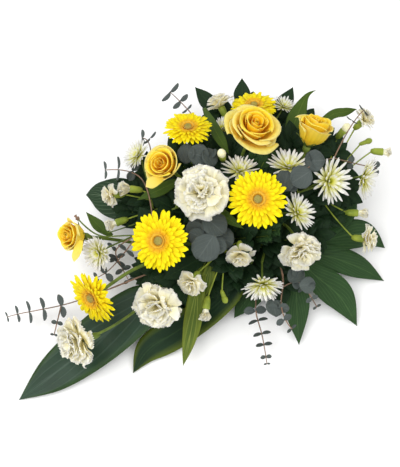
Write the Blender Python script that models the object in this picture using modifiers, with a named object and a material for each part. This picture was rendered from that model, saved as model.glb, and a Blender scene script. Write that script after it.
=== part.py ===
# Casket spray: flowers and foliage in a brick of wet foam on a plastic tray.
# Metres, +Z up. The origin is on the surface under the middle of the tray.
# +X is to the right and +Y away from someone who looks at the front of the spray.

import math
import random
from collections import namedtuple

import bmesh
import bpy
from mathutils import Matrix, Vector

# Tray and foam
TRAY_LENGTH = 0.236
TRAY_WIDTH = 0.112
TRAY_HEIGHT = 0.022
TRAY_WALL = 0.002
TRAY_CORNER = 0.014
FOAM_LENGTH = 0.220
FOAM_WIDTH = 0.096
FOAM_HEIGHT = 0.072
BRICK_TURN = math.radians(38)
GAP = 0.0003

# How deep stems go in, and how far they run straight past the foam's face
STEM_DEPTH = 0.026
STRAIGHT_RUN = 0.006
HEART_HEIGHT = 0.036
LOWEST_ENTRY = 0.030
FAN = 0.42
FAN_LIMIT = 0.075

# Real sizes of the flowers
GERBERA_SPREAD = 0.090
ROSE_SPREAD = 0.080
CARNATION_SPREAD = 0.080
MUM_SPREAD = 0.078
PETAL_THICK = 0.0008
LEAF_THICK = 0.0010

# The view that the places below are given in: x and y in a frame of 400 by 467,
# each step PIXEL metres at VIEW_TARGET, seen from VIEW_DISTANCE at VIEW_ELEVATION
PIXEL = 0.0016
VIEW_ELEVATION = math.radians(65)
VIEW_DISTANCE = 2.4
VIEW_TARGET = Vector((-0.0352, 0.0291, 0.0))
VIEW_CENTRE = (200.0, 233.5)

RIGHT = Vector((1, 0, 0))
UP = Vector((0, math.sin(VIEW_ELEVATION), math.cos(VIEW_ELEVATION)))
TOWARDS_VIEWER = Vector((0, -math.cos(VIEW_ELEVATION), math.sin(VIEW_ELEVATION)))

Bloom = namedtuple("Bloom", "name x y height lean toward size lift", defaults=(0.0,))
Spot = namedtuple("Spot", "x y height width", defaults=(0.0,))

# Heads: lean is the angle away from the viewer, toward is its direction in the view
GERBERAS = (
    Bloom(name="gerbera_left", x=160, y=241, height=0.165, lean=20, toward=185, size=1.04),
    Bloom(name="gerbera_centre", x=258, y=199, height=0.205, lean=8, toward=60, size=1.02),
    Bloom(name="gerbera_back_left", x=187, y=128, height=0.160, lean=43, toward=90, size=0.86),
    Bloom(name="gerbera_back", x=254, y=104, height=0.110, lean=50, toward=90, size=0.84),
    Bloom(name="gerbera_tail", x=90, y=299, height=0.112, lean=50, toward=215, size=0.94,
          lift=0.016),
)
ROSES = (
    Bloom(name="rose_back", x=257, y=122, height=0.200, lean=40, toward=65, size=1.02),
    Bloom(name="rose_right", x=317, y=121, height=0.160, lean=64, toward=70, size=0.92),
    Bloom(name="rose_left", x=160, y=163, height=0.180, lean=28, toward=150, size=0.90),
    Bloom(name="rose_tail", x=66, y=235, height=0.110, lean=50, toward=175, size=0.78),
)
CARNATIONS = (
    Bloom(name="carnation_centre", x=202, y=191, height=0.205, lean=9, toward=104, size=1.07),
    Bloom(name="carnation_front", x=157, y=309, height=0.125, lean=30, toward=255, size=0.96),
    Bloom(name="carnation_tail", x=71, y=344, height=0.092, lean=56, toward=197, size=0.98,
          lift=0.032),
    Bloom(name="carnation_right", x=302, y=253, height=0.135, lean=38, toward=285, size=0.88),
)
MUMS = {
    "right": (
        Bloom(name="mum_right", x=330, y=181, height=0.140, lean=35, toward=350, size=0.98),
        Bloom(name="mum_back_right", x=289, y=166, height=0.150, lean=46, toward=85, size=0.90),
        Bloom(name="mum_far_right", x=365, y=178, height=0.110, lean=70, toward=345, size=0.94),
    ),
    "centre": (
        Bloom(name="mum_centre", x=239, y=170, height=0.140, lean=46, toward=85, size=0.86),
        Bloom(name="mum_centre_right", x=298, y=212, height=0.145, lean=44, toward=30, size=0.80),
    ),
    "front": (
        Bloom(name="mum_front", x=263, y=286, height=0.085, lean=50, toward=275, size=0.84),
    ),
    "left": (
        Bloom(name="mum_left", x=97, y=252, height=0.085, lean=40, toward=200, size=0.74),
        Bloom(name="mum_back_left", x=137, y=155, height=0.128, lean=50, toward=150, size=0.66),
    ),
    "back": (
        Bloom(name="mum_back_low", x=222, y=128, height=0.100, lean=45, toward=110, size=0.60),
        Bloom(name="mum_back_high", x=284, y=106, height=0.086, lean=50, toward=70, size=0.56),
    ),
}
MUM_FORKS = {
    "right": Spot(x=300, y=192, height=0.095),
    "centre": Spot(x=262, y=207, height=0.095),
    "front": Spot(x=262, y=262, height=0.070),
    "left": Spot(x=154, y=226, height=0.070),
    "back": Spot(x=248, y=160, height=0.085),
}

# Roses that are only half open stand taller: factors on their width and height
CUPPED = {"rose_right": (0.90, 1.45), "rose_left": (0.95, 1.10), "rose_tail": (0.90, 1.30)}

# Length and radius of the green tube below a spray carnation, and of one below a small bud
CALYX = (0.020, 0.0056)
CALYX_SHORT = (0.010, 0.0034)

# Spray carnations: openness 0 is a bud, 0.5 half open, 1 open
Floret = namedtuple("Floret", "x y height lean toward size openness")
SPRAY_CARNATIONS = {
    "left": (Spot(x=168, y=205, height=0.086), (
        Floret(x=112, y=195, height=0.112, lean=62, toward=185, size=0.019, openness=1),
        Floret(x=130, y=189, height=0.116, lean=80, toward=175, size=0.020, openness=0.5),
        Floret(x=116, y=223, height=0.090, lean=78, toward=200, size=0.017, openness=0.5),
    )),
    "right": (Spot(x=322, y=197, height=0.077), (
        Floret(x=383, y=152, height=0.090, lean=84, toward=355, size=0.014, openness=0.5),
        Floret(x=358, y=213, height=0.078, lean=84, toward=358, size=0.016, openness=0.5),
        Floret(x=364, y=239, height=0.070, lean=74, toward=352, size=0.021, openness=1),
        Floret(x=363, y=121, height=0.094, lean=72, toward=42, size=0.019, openness=1),
        Floret(x=344, y=130, height=0.100, lean=60, toward=50, size=0.013, openness=0),
        Floret(x=366, y=142, height=0.092, lean=84, toward=20, size=0.010, openness=0),
    )),
    "front": (Spot(x=227, y=248, height=0.092), (
        Floret(x=240, y=254, height=0.118, lean=55, toward=270, size=0.022, openness=1),
        Floret(x=193, y=280, height=0.114, lean=48, toward=235, size=0.021, openness=1),
        Floret(x=206, y=309, height=0.072, lean=76, toward=262, size=0.018, openness=0.5),
        Floret(x=224, y=297, height=0.070, lean=80, toward=290, size=0.010, openness=0),
    )),
    "back": (Spot(x=221, y=166, height=0.088), (
        Floret(x=221, y=107, height=0.094, lean=88, toward=116, size=0.023, openness=1),
        Floret(x=219, y=152, height=0.156, lean=30, toward=120, size=0.014, openness=0),
    )),
}

# Eucalyptus: each shoot is a run of spots, whose width is the spread of the leaf pair there
SHOOTS = {
    "tail": (
        ((112, 288, 0.052, 0), (84, 299, 0.048, 0), (61, 306, 0.046, 0.036),
         (43, 309, 0.042, 0.036), (29, 312, 0.038, 0.034), (17, 314, 0.034, 0.026),
         (7, 317, 0.030, 0.016)),
        ((61, 306, 0.046, 0), (57, 323, 0.040, 0.018), (54, 335, 0.036, 0.012)),
    ),
    "front": (
        ((256, 297, 0.046, 0), (255, 311, 0.044, 0.034), (258, 321, 0.042, 0.030),
         (262, 334, 0.038, 0.027), (264, 345, 0.034, 0.025), (266, 357, 0.031, 0.017),
         (267, 364, 0.029, 0.010)),
    ),
    "front_right": (
        ((283, 287, 0.064, 0), (278, 308, 0.066, 0.034), (284, 320, 0.070, 0.026),
         (292, 329, 0.067, 0.018)),
        ((283, 287, 0.064, 0), (297, 278, 0.072, 0.034), (306, 287, 0.074, 0.028),
         (312, 299, 0.070, 0.020), (317, 307, 0.067, 0.014)),
    ),
    "left": (
        ((152, 213, 0.110, 0), (148, 181, 0.120, 0), (133, 171, 0.115, 0.032),
         (118, 169, 0.109, 0.038), (105, 170, 0.105, 0.027)),
        ((148, 181, 0.119, 0), (154, 150, 0.120, 0), (150, 138, 0.120, 0.026),
         (142, 138, 0.120, 0.026)),
        ((152, 213, 0.109, 0), (138, 235, 0.086, 0), (126, 251, 0.070, 0.022),
         (117, 262, 0.064, 0.026), (106, 274, 0.060, 0.022), (96, 278, 0.058, 0.014)),
    ),
    "top": (
        ((205, 135, 0.080, 0), (194, 116, 0.084, 0), (187, 109, 0.088, 0.020),
         (180, 101, 0.092, 0.032), (170, 92, 0.096, 0.038)),
    ),
    "centre": (
        ((215, 222, 0.100, 0), (211, 233, 0.128, 0.074), (208, 240, 0.146, 0.060)),
        ((215, 222, 0.100, 0), (216, 175, 0.130, 0), (208, 158, 0.142, 0.036),
         (197, 155, 0.146, 0.036), (187, 153, 0.144, 0.030)),
    ),
    "right": (
        ((282, 192, 0.150, 0), (288, 181, 0.172, 0.038), (301, 176, 0.180, 0.036),
         (312, 162, 0.177, 0.032), (334, 158, 0.140, 0)),
        ((334, 158, 0.140, 0), (351, 163, 0.116, 0.022), (376, 168, 0.084, 0.022)),
        ((334, 158, 0.140, 0), (352, 120, 0.120, 0.020), (364, 110, 0.114, 0.022)),
    ),
}

# Leaves: runs of spots from base to tip, with the blade's full width at each
LEAVES = {
    "leaf_tail": (((164, 287, 0.034, 0.014), (146, 302, 0.036, 0.062), (118, 324, 0.030, 0.078),
                   (84, 351, 0.022, 0.074), (50, 377, 0.012, 0.052), (19, 400, 0.0035, 0)),),
    "leaf_margined": (((247, 268, 0.050, 0.012), (230, 291, 0.040, 0.040),
                       (206, 313, 0.024, 0.046), (174, 333, 0.014, 0.052),
                       (148, 350, 0.008, 0.040), (133, 373, 0.0035, 0)),),
    "leaf_blades": (((203, 266, 0.082, 0.012), (197, 292, 0.078, 0.024), (193, 320, 0.056, 0.028),
                     (188, 345, 0.038, 0.018), (183, 366, 0.030, 0)),
                    ((212, 260, 0.086, 0.010), (207, 281, 0.078, 0.020), (201, 303, 0.058, 0)),
                    ((206, 256, 0.086, 0.012), (190, 264, 0.094, 0.030), (176, 272, 0.100, 0.026),
                     (163, 279, 0.100, 0))),
    "leaf_fatsia": (((294, 256, 0.046, 0.014), (318, 232, 0.050, 0.040), (344, 211, 0.046, 0.040),
                     (356, 195, 0.040, 0)),
                    ((294, 256, 0.046, 0.014), (328, 240, 0.044, 0.044), (362, 234, 0.030, 0.044),
                     (385, 248, 0.010, 0)),
                    ((294, 256, 0.046, 0.014), (325, 256, 0.040, 0.040), (358, 267, 0.024, 0.036),
                     (384, 281, 0.008, 0)),
                    ((294, 256, 0.046, 0.014), (316, 276, 0.038, 0.042), (340, 297, 0.024, 0.046),
                     (357, 326, 0.008, 0)),
                    ((294, 256, 0.046, 0.014), (296, 284, 0.036, 0.038), (297, 313, 0.022, 0.036),
                     (299, 345, 0.008, 0)),
                    ((294, 256, 0.046, 0.014), (266, 274, 0.034, 0.034), (248, 298, 0.018, 0.038),
                     (234, 318, 0.008, 0))),
    "leaf_broad_left": (((166, 214, 0.052, 0.012), (146, 206, 0.056, 0.054),
                         (118, 199, 0.052, 0.068), (98, 195, 0.044, 0.042), (86, 195, 0.040, 0)),),
    "leaves_back": (((241, 112, 0.066, 0.008), (242, 94, 0.074, 0.027), (242, 78, 0.080, 0)),
                    ((222, 120, 0.066, 0.008), (207, 101, 0.074, 0.026), (195, 87, 0.080, 0)),
                    ((270, 118, 0.064, 0.008), (285, 102, 0.070, 0.026), (293, 87, 0.076, 0))),
    "leaves_right": (((286, 144, 0.090, 0.006), (297, 118, 0.100, 0.023), (306, 97, 0.108, 0.009),
                      (316, 90, 0.112, 0)),
                     ((300, 146, 0.086, 0.006), (329, 117, 0.096, 0.014), (345, 112, 0.096, 0.014),
                      (357, 109, 0.094, 0))),
    "leaves_left": (((180, 180, 0.112, 0.006), (159, 190, 0.114, 0.021), (137, 200, 0.108, 0)),
                    ((112, 236, 0.058, 0.006), (98, 225, 0.062, 0.018), (86, 212, 0.062, 0))),
}
LEAF_CROWNS = {
    "leaf_blades": Spot(x=208, y=255, height=0.081),
    "leaf_fatsia": Spot(x=290, y=250, height=0.047),
    "leaves_back": Spot(x=238, y=140, height=0.062),
    "leaves_right": Spot(x=287, y=158, height=0.082),
    "leaves_left": Spot(x=176, y=208, height=0.092),
}

GREEN_LEAF = (0.035, 0.095, 0.030)
STEM_GREEN = (0.170, 0.280, 0.070)
EUCALYPTUS_GREY = (0.130, 0.190, 0.175)
YELLOW = (0.950, 0.720, 0.010)
GOLD = (0.950, 0.620, 0.080)
WHITE = (0.900, 0.890, 0.820)
TRAY_GREEN = (0.020, 0.080, 0.030)
FOAM_GREEN = (0.040, 0.120, 0.050)


def on_view(x, y, height):
    # The point at that height which the viewer sees at x, y
    eye = VIEW_TARGET + TOWARDS_VIEWER * VIEW_DISTANCE
    across = RIGHT * (x - VIEW_CENTRE[0]) * PIXEL
    along = UP * (VIEW_CENTRE[1] - y) * PIXEL
    seen = VIEW_TARGET + across + along
    part = (height - eye.z) / (seen.z - eye.z)
    return eye + (seen - eye) * part


def spot_point(spot):
    return on_view(spot.x, spot.y, spot.height)


def facing(lean, toward):
    lean = math.radians(lean)
    toward = math.radians(toward)
    sideways = RIGHT * math.cos(toward) + UP * math.sin(toward)
    return (TOWARDS_VIEWER * math.cos(lean) + sideways * math.sin(lean)).normalized()


def placed(point, axis, roll=0.0):
    turn = axis.to_track_quat("Z", "Y").to_matrix().to_4x4()
    return Matrix.Translation(point) @ turn @ Matrix.Rotation(roll, 4, "Z")


def material(name, colour, roughness=0.6):
    made = bpy.data.materials.get(name)
    if made is None:
        made = bpy.data.materials.new(name)
        made.use_nodes = True
        shader = made.node_tree.nodes["Principled BSDF"]
        shader.inputs["Base Color"].default_value = (*colour, 1)
        shader.inputs["Roughness"].default_value = roughness
    return made


def evaluated(thing):
    # The mesh with its modifiers applied, and the object removed
    bpy.context.view_layer.update()
    depsgraph = bpy.context.evaluated_depsgraph_get()
    mesh = bpy.data.meshes.new_from_object(thing.evaluated_get(depsgraph))
    bpy.data.objects.remove(thing)
    return mesh


def scratch_object(data):
    thing = bpy.data.objects.new("scratch", data)
    bpy.context.scene.collection.objects.link(thing)
    return thing


def turned(profile, sides):
    # A solid turned about Z from (radius, height) points, top to bottom
    mesh = bpy.data.meshes.new("profile")
    edges = [(k, k + 1) for k in range(len(profile) - 1)]
    mesh.from_pydata([(r, 0, z) for r, z in profile], edges, [])
    thing = scratch_object(mesh)
    screw = thing.modifiers.new("turn", "SCREW")
    screw.angle = 2 * math.pi
    screw.steps = sides
    screw.render_steps = sides
    screw.use_merge_vertices = True
    screw.merge_threshold = 0.00001
    made = evaluated(thing)
    bm = bmesh.new()
    bm.from_mesh(made)
    bmesh.ops.remove_doubles(bm, verts=bm.verts, dist=0.00001)
    bmesh.ops.recalc_face_normals(bm, faces=bm.faces)
    bm.to_mesh(made)
    bm.free()
    return made


def tube(points, radius, sides=6):
    curve = bpy.data.curves.new("run", "CURVE")
    curve.dimensions = "3D"
    spline = curve.splines.new("POLY")
    spline.points.add(len(points) - 1)
    for knot, point in zip(spline.points, points):
        knot.co = (*point, 1)
    curve.bevel_depth = radius
    curve.bevel_resolution = (sides - 4) // 2
    curve.use_fill_caps = True
    made = evaluated(scratch_object(curve))
    bm = bmesh.new()
    bm.from_mesh(made)
    bmesh.ops.remove_doubles(bm, verts=bm.verts, dist=0.00002)
    bmesh.ops.recalc_face_normals(bm, faces=bm.faces)
    bm.to_mesh(made)
    bm.free()
    return made


def sheet(shape, columns, rows, thickness):
    # A thin solid from shape(u, t), u from -1 to 1 across and t from 0 to 1 along
    bm = bmesh.new()
    bmesh.ops.create_grid(bm, x_segments=columns, y_segments=rows, size=1)
    for vert in bm.verts:
        vert.co = shape(vert.co.x, (vert.co.y + 1) / 2)
    bmesh.ops.remove_doubles(bm, verts=bm.verts, dist=0.00001)
    bmesh.ops.triangulate(bm, faces=bm.faces[:], quad_method="FIXED")
    bmesh.ops.solidify(bm, geom=bm.faces[:], thickness=thickness)
    bmesh.ops.recalc_face_normals(bm, faces=bm.faces)
    made = bpy.data.meshes.new("sheet")
    bm.to_mesh(made)
    bm.free()
    return made


def strip(bm, lower, upper):
    # Triangles between two runs of vertices of unlike length
    i = 0
    j = 0
    while i < len(lower) - 1 or j < len(upper) - 1:
        if j == len(upper) - 1 or (i + 0.25) * (len(upper) - 1) <= j * (len(lower) - 1):
            bm.faces.new((lower[i], lower[i + 1], upper[j]))
            i += 1
        else:
            bm.faces.new((lower[i], upper[j + 1], upper[j]))
            j += 1


def closed_mesh(bm):
    # The closed surface as a mesh with its faces outward
    bmesh.ops.triangulate(bm, faces=[f for f in bm.faces if len(f.verts) == 4])
    bmesh.ops.recalc_face_normals(bm, faces=bm.faces)
    if bm.calc_volume(signed=True) < 0:
        bmesh.ops.reverse_faces(bm, faces=bm.faces)
    made = bpy.data.meshes.new("closed")
    bm.to_mesh(made)
    bm.free()
    return made


def flower(count, hub, layers, eye, scale, drift, rng):
    # One closed surface from the hub below, out along the underside of each layer of
    # petals to its rim, back over the top to a ring, and so on up to the eye.
    # A layer is (valley between petals, rows of the petal, ring above its root).
    # A row holds (share of the petal's angle, radius, height) from side to side.
    bm = bmesh.new()
    step = 2 * math.pi / count

    def vertex(angle, radius, height):
        place = Vector((radius * math.cos(angle), radius * math.sin(angle), height))
        return bm.verts.new(place * scale)

    shift = 0.0
    base = [vertex((k - 0.5) * step, *hub) for k in range(count)]
    bm.faces.new(base)
    for valley, rows, upper in layers:
        valleys = [vertex((k - 0.5 + shift) * step, *valley) for k in range(count)]
        above = [vertex((k + shift) * step, *upper) for k in range(count)]
        for k in range(count):
            after = (k + 1) % count
            bm.faces.new((base[k], base[after], valleys[after], valleys[k]))
            bm.faces.new((above[k - 1], valleys[k], above[k]))
            lift = rng.uniform(-drift, drift)
            lower = [valleys[k], valleys[after]]
            left = [valleys[k]]
            right = [valleys[after]]
            for level, row in enumerate(rows):
                raised = lift * (level + 1) / len(rows)
                outer = [vertex((k + shift + share) * step, r, h + raised) for share, r, h in row]
                strip(bm, lower, outer)
                if level < len(rows) - 1:
                    left.append(outer[0])
                    right.append(outer[-1])
                lower = outer
            rim = left + lower + right[::-1]
            for one, two in zip(rim, rim[1:]):
                bm.faces.new((one, two, above[k]))
        base = above
        shift += 0.5
    for radius, height in eye[:-1]:
        outline = [vertex((k - 0.5 + shift) * step, radius, height) for k in range(count)]
        for k in range(count):
            after = (k + 1) % count
            bm.faces.new((base[k], base[after], outline[after], outline[k]))
        base = outline
    apex = vertex(0, *eye[-1])
    for k in range(count):
        bm.faces.new((base[k], base[(k + 1) % count], apex))
    return closed_mesh(bm)


def largest_body(mesh):
    # Drops the loose scraps and sealed hollows that a union can leave
    bm = bmesh.new()
    bm.from_mesh(mesh)
    rest = set(bm.verts)
    bodies = []
    while rest:
        body = set()
        edge = [rest.pop()]
        while edge:
            vert = edge.pop()
            body.add(vert)
            near = {e.other_vert(vert) for e in vert.link_edges} & rest
            rest -= near
            edge += near
        bodies.append(body)
    bodies.sort(key=len)
    scraps = [vert for body in bodies[:-1] for vert in body]
    bmesh.ops.delete(bm, geom=scraps, context="VERTS")
    bm.to_mesh(mesh)
    bm.free()
    return mesh


def joined(body, pieces):
    # One closed body from a mesh and (mesh, matrix) pieces that run into it
    base = scratch_object(body)
    holder = bpy.data.collections.new("joining")
    bpy.context.scene.collection.children.link(holder)
    for mesh, matrix in pieces:
        piece = bpy.data.objects.new("piece", mesh)
        piece.matrix_world = matrix
        holder.objects.link(piece)
    union = base.modifiers.new("join", "BOOLEAN")
    union.operation = "UNION"
    union.operand_type = "COLLECTION"
    union.collection = holder
    union.solver = "MANIFOLD"
    made = evaluated(base)
    for piece in list(holder.objects):
        bpy.data.objects.remove(piece)
    bpy.data.collections.remove(holder)
    return largest_body(made)


def finished(name, mesh, matrix, colours):
    mesh.name = name
    if len(colours) == 1:
        mesh.materials.clear()
        mesh.materials.append(colours[0])
    thing = bpy.data.objects.new(name, mesh)
    thing.matrix_world = matrix
    bpy.data.collections["Casket spray"].objects.link(thing)
    return thing


def ring(mesh, count, radius, height, start=0.0):
    # Copies of a petal that points along +X, evenly round Z
    pieces = []
    for k in range(count):
        spin = Matrix.Rotation(start + 2 * math.pi * k / count, 4, "Z")
        pieces.append((mesh, spin @ Matrix.Translation((radius, 0, height))))
    return pieces


def sepal(length, width, droop):
    def shape(u, t):
        return Vector((length * t, u * 0.5 * width * (1 - t), droop * t))
    return sheet(shape, 1, 1, PETAL_THICK)


def gerbera_head(bloom):
    scale = bloom.size * GERBERA_SPREAD / 2
    outer = (
        ((-0.42, 0.76, 0.15), (0.42, 0.76, 0.15)),
        ((-0.22, 1.00, 0.18), (0.22, 1.00, 0.18)),
    )
    inner = (
        ((-0.42, 0.56, 0.29), (0.42, 0.56, 0.29)),
        ((-0.22, 0.70, 0.34), (0.22, 0.70, 0.34)),
    )
    layers = (
        ((0.27, 0.09), outer, (0.25, 0.15)),
        ((0.28, 0.17), inner, (0.23, 0.23)),
    )
    eye = ((0.12, 0.27), (0, 0.25))
    rng = random.Random(bloom.name)
    return flower(14, (0.14, 0), layers, eye, scale, 0.03, rng), 0.20 * scale


def mum_head(bloom):
    scale = bloom.size * MUM_SPREAD / 2
    outer = (
        ((-0.25, 0.60, 0.20), (0.25, 0.60, 0.20)),
        ((0, 0.97, 0.34),),
    )
    inner = (
        ((-0.27, 0.40, 0.34), (0.27, 0.40, 0.34)),
        ((0, 0.64, 0.56),),
    )
    layers = (
        ((0.19, 0.06), outer, (0.17, 0.11)),
        ((0.19, 0.13), inner, (0.14, 0.18)),
    )
    rng = random.Random(bloom.name)
    count = 12 if bloom.size > 0.7 else 10
    return flower(count, (0.10, 0), layers, ((0, 0.24),), scale, 0.06, rng), 0.16 * scale


def rose_petal(scale, span, radii, heights):
    # A cupped petal round Z: one side tucked in, the other out, and its rim rounded
    rows = len(radii) - 1

    def shape(u, t):
        k = min(int(t * rows), rows - 1)
        part = t * rows - k
        radius = radii[k] + (radii[k + 1] - radii[k]) * part
        height = heights[k] + (heights[k + 1] - heights[k]) * part
        radius *= 1 + 0.11 * u * min(1, 2 * t)
        height *= 1 - 0.16 * abs(u) * t
        angle = u * span * min(1, 2 * t)
        return Vector((radius * math.cos(angle), radius * math.sin(angle), height)) * scale
    return sheet(shape, 2, rows, PETAL_THICK)


def rose_head(bloom):
    scale = bloom.size * ROSE_SPREAD / 2
    core = turned(((0, 0.95), (0.13, 0.93), (0.24, 0.62), (0.27, 0.25), (0.15, 0), (0, 0)), 6)
    core.transform(Matrix.Scale(scale, 4))
    layers = [
        (3, math.radians(64), (0.24, 0.38), (0.30, 1.00)),
        (4, math.radians(52), (0.22, 0.62), (0.14, 0.96)),
        (5, math.radians(43), (0.17, 0.70, 0.90), (0.08, 0.36, 0.76)),
    ]
    if bloom.size > 1:
        layers.append((4, math.radians(50), (0.16, 0.74, 1.08), (0.04, 0.18, 0.50)))
    if bloom.size < 0.8:
        layers = layers[1:]
    pieces = []
    for level, (count, span, radii, heights) in enumerate(layers):
        shape = rose_petal(scale, span, radii, heights)
        pieces += ring(shape, count, 0, 0, start=0.9 * level)
    head = joined(core, pieces)
    wide, tall = CUPPED.get(bloom.name, (1, 1))
    head.transform(Matrix.Diagonal((wide, wide, tall, 1)))
    return head, 0.84 * scale * tall


def carnation_head(bloom):
    scale = bloom.size * CARNATION_SPREAD / 2
    # Valley, radius and height of the rim, depth of its frill, ring above the root
    sizes = (
        ((0.56, 0.24), 1.00, 0.28, 0.08, (0.34, 0.36)),
        ((0.50, 0.44), 0.86, 0.54, 0.08, (0.26, 0.54)),
        ((0.36, 0.60), 0.62, 0.76, 0.08, (0.18, 0.66)),
        ((0.22, 0.72), 0.36, 0.90, 0.05, (0.08, 0.74)),
    )
    layers = []
    for valley, rim, height, frill, above in sizes:
        row = (
            (-0.42, rim * 0.92, height + frill),
            (-0.15, rim, height - frill),
            (0.15, rim * 0.95, height + frill),
            (0.42, rim * 0.97, height - frill * 0.4),
        )
        layers.append((valley, (row,), above))
    rng = random.Random(bloom.name)
    return flower(6, (0.14, 0), layers, ((0, 0.78),), scale, 0.03, rng), 0.62 * scale


def turned_about(point):
    # World to brick coordinates and back, about the vertical
    return Matrix.Rotation(BRICK_TURN, 3, "Z") @ point


def foam_entry(target, lift):
    # Where a stem bound for the target leaves the foam, and in which direction
    local = Matrix.Rotation(-BRICK_TURN, 3, "Z") @ target
    along = max(-FAN_LIMIT, min(FAN_LIMIT, FAN * local.x))
    heart = Vector((along, 0, HEART_HEIGHT))
    ray = local - heart
    base = TRAY_WALL + GAP
    limits = []
    for axis, half in ((0, FOAM_LENGTH / 2), (1, FOAM_WIDTH / 2)):
        if abs(ray[axis]) > 0.000001:
            limits.append((math.copysign(half, ray[axis]) - heart[axis]) / ray[axis])
    if ray.z > 0.000001:
        limits.append((base + FOAM_HEIGHT - heart.z) / ray.z)
    part = min(limit for limit in limits if limit > 0)
    leave = heart + ray * part
    leave.z = max(leave.z + lift, LOWEST_ENTRY)
    ray.normalize()
    return turned_about(leave), turned_about(ray)


def stem_route(start, way, end, arrive, steps):
    # Straight out of the foam, then a smooth bend to the end
    inner = start - way * STEM_DEPTH
    outer = start + way * STRAIGHT_RUN
    reach = (end - outer).length
    first = outer + way * reach * 0.30
    last = end - arrive * reach * 0.36
    points = [inner]
    for k in range(steps + 1):
        t = k / steps
        s = 1 - t
        bend = outer * s ** 3 + first * 3 * s * s * t + last * 3 * s * t * t + end * t ** 3
        points.append(bend)
    return points


# Cutters for the plain holes that the stems stand in
HOLES = []


def foam_stem(end, arrive, radius, steps=3, sides=6, lift=0.0):
    leave, way = foam_entry(end - arrive * 0.35 * end.length, lift)
    points = stem_route(leave, way, end, arrive, steps)
    hole = radius + GAP / math.cos(math.pi / sides)
    HOLES.append(tube([points[0] - way * GAP, points[1] + way * STRAIGHT_RUN], hole, sides))
    return tube(points, radius, sides)


def bloom_stem(bloom, neck, axis, radius, collar, extras=()):
    run = foam_stem(neck - axis * 0.004, axis, radius, lift=bloom.lift)
    cup = turned(collar, 6)
    pieces = [(cup, placed(neck - axis * GAP, axis))]
    pieces += [(mesh, placed(neck - axis * GAP, axis) @ matrix) for mesh, matrix in extras]
    green = material("stem_green", STEM_GREEN)
    finished(bloom.name + "_stem", joined(run, pieces), Matrix.Identity(4), [green])


def add_bloom(bloom, maker, colour):
    axis = facing(bloom.lean, bloom.toward)
    face = on_view(bloom.x, bloom.y, bloom.height)
    mesh, depth = maker(bloom)
    neck = face - axis * depth
    finished(bloom.name, mesh, placed(neck, axis, 0.7 * bloom.x), [colour])
    return neck, axis


def add_gerberas():
    for bloom in GERBERAS:
        neck, axis = add_bloom(bloom, gerbera_head, material("yellow_petal", YELLOW))
        wide = 0.15 * bloom.size * GERBERA_SPREAD / 2
        collar = ((0, 0), (wide, 0), (0.8 * wide, -0.004), (0.0032, -0.009), (0, -0.009))
        bloom_stem(bloom, neck, axis, 0.0028, collar)


def add_roses():
    pointed = sepal(0.018, 0.0046, -0.010)
    for bloom in ROSES:
        neck, axis = add_bloom(bloom, rose_head, material("gold_petal", GOLD))
        collar = ((0, 0), (0.0055, 0), (0.0062, -0.004), (0.0034, -0.011), (0, -0.011))
        bloom_stem(bloom, neck, axis, 0.0027, collar, ring(pointed, 5, 0.003, -0.002))


def add_carnations():
    for bloom in CARNATIONS:
        neck, axis = add_bloom(bloom, carnation_head, material("white_petal", WHITE))
        wide = 0.0062 * bloom.size
        collar = ((0, 0), (wide, 0), (wide, -0.020), (0.0034, -0.026), (0, -0.026))
        bloom_stem(bloom, neck, axis, 0.0022, collar)


def painted(mesh, index):
    # Marks every face of a piece with one of its node's two finishes
    mesh.materials.clear()
    mesh.materials.append(material("stem_green", STEM_GREEN))
    mesh.materials.append(material("white_petal", WHITE))
    for face in mesh.polygons:
        face.material_index = index
    return mesh


def add_mums():
    # The heads at the back are nearly hidden, so they share one node with their stem
    green = material("stem_green", STEM_GREEN)
    white = material("white_petal", WHITE)
    here = Matrix.Identity(4)
    for place, blooms in MUMS.items():
        whole = place == "back"
        fork = spot_point(MUM_FORKS[place])
        pieces = []
        ends = [on_view(bloom.x, bloom.y, bloom.height) for bloom in blooms]
        way = (sum(ends, Vector()) / len(ends) - fork).normalized()
        root = fork - way * 0.003
        for bloom in blooms:
            if whole:
                axis = facing(bloom.lean, bloom.toward)
                head, depth = mum_head(bloom)
                neck = on_view(bloom.x, bloom.y, bloom.height) - axis * depth
                pieces.append((painted(head, 1), placed(neck - axis * 0.001, axis)))
            else:
                neck, axis = add_bloom(bloom, mum_head, white)
            bend = fork + (neck - fork) * 0.55 - axis * 0.10 * (neck - fork).length
            branch = tube([root, bend, neck - axis * 0.0035], 0.0014, 4)
            cup = turned(((0, 0), (0.0044, 0), (0, -0.006)), 5)
            pieces.append((painted(branch, 0), here))
            pieces.append((painted(cup, 0), placed(neck - axis * GAP, axis)))
        run = foam_stem(fork, way, 0.0022, steps=2)
        stem = joined(painted(run, 0), pieces)
        if whole:
            finished("mum_spray_" + place, stem, here, [green, white])
        else:
            finished("mum_stem_" + place, stem, here, [green])


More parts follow.
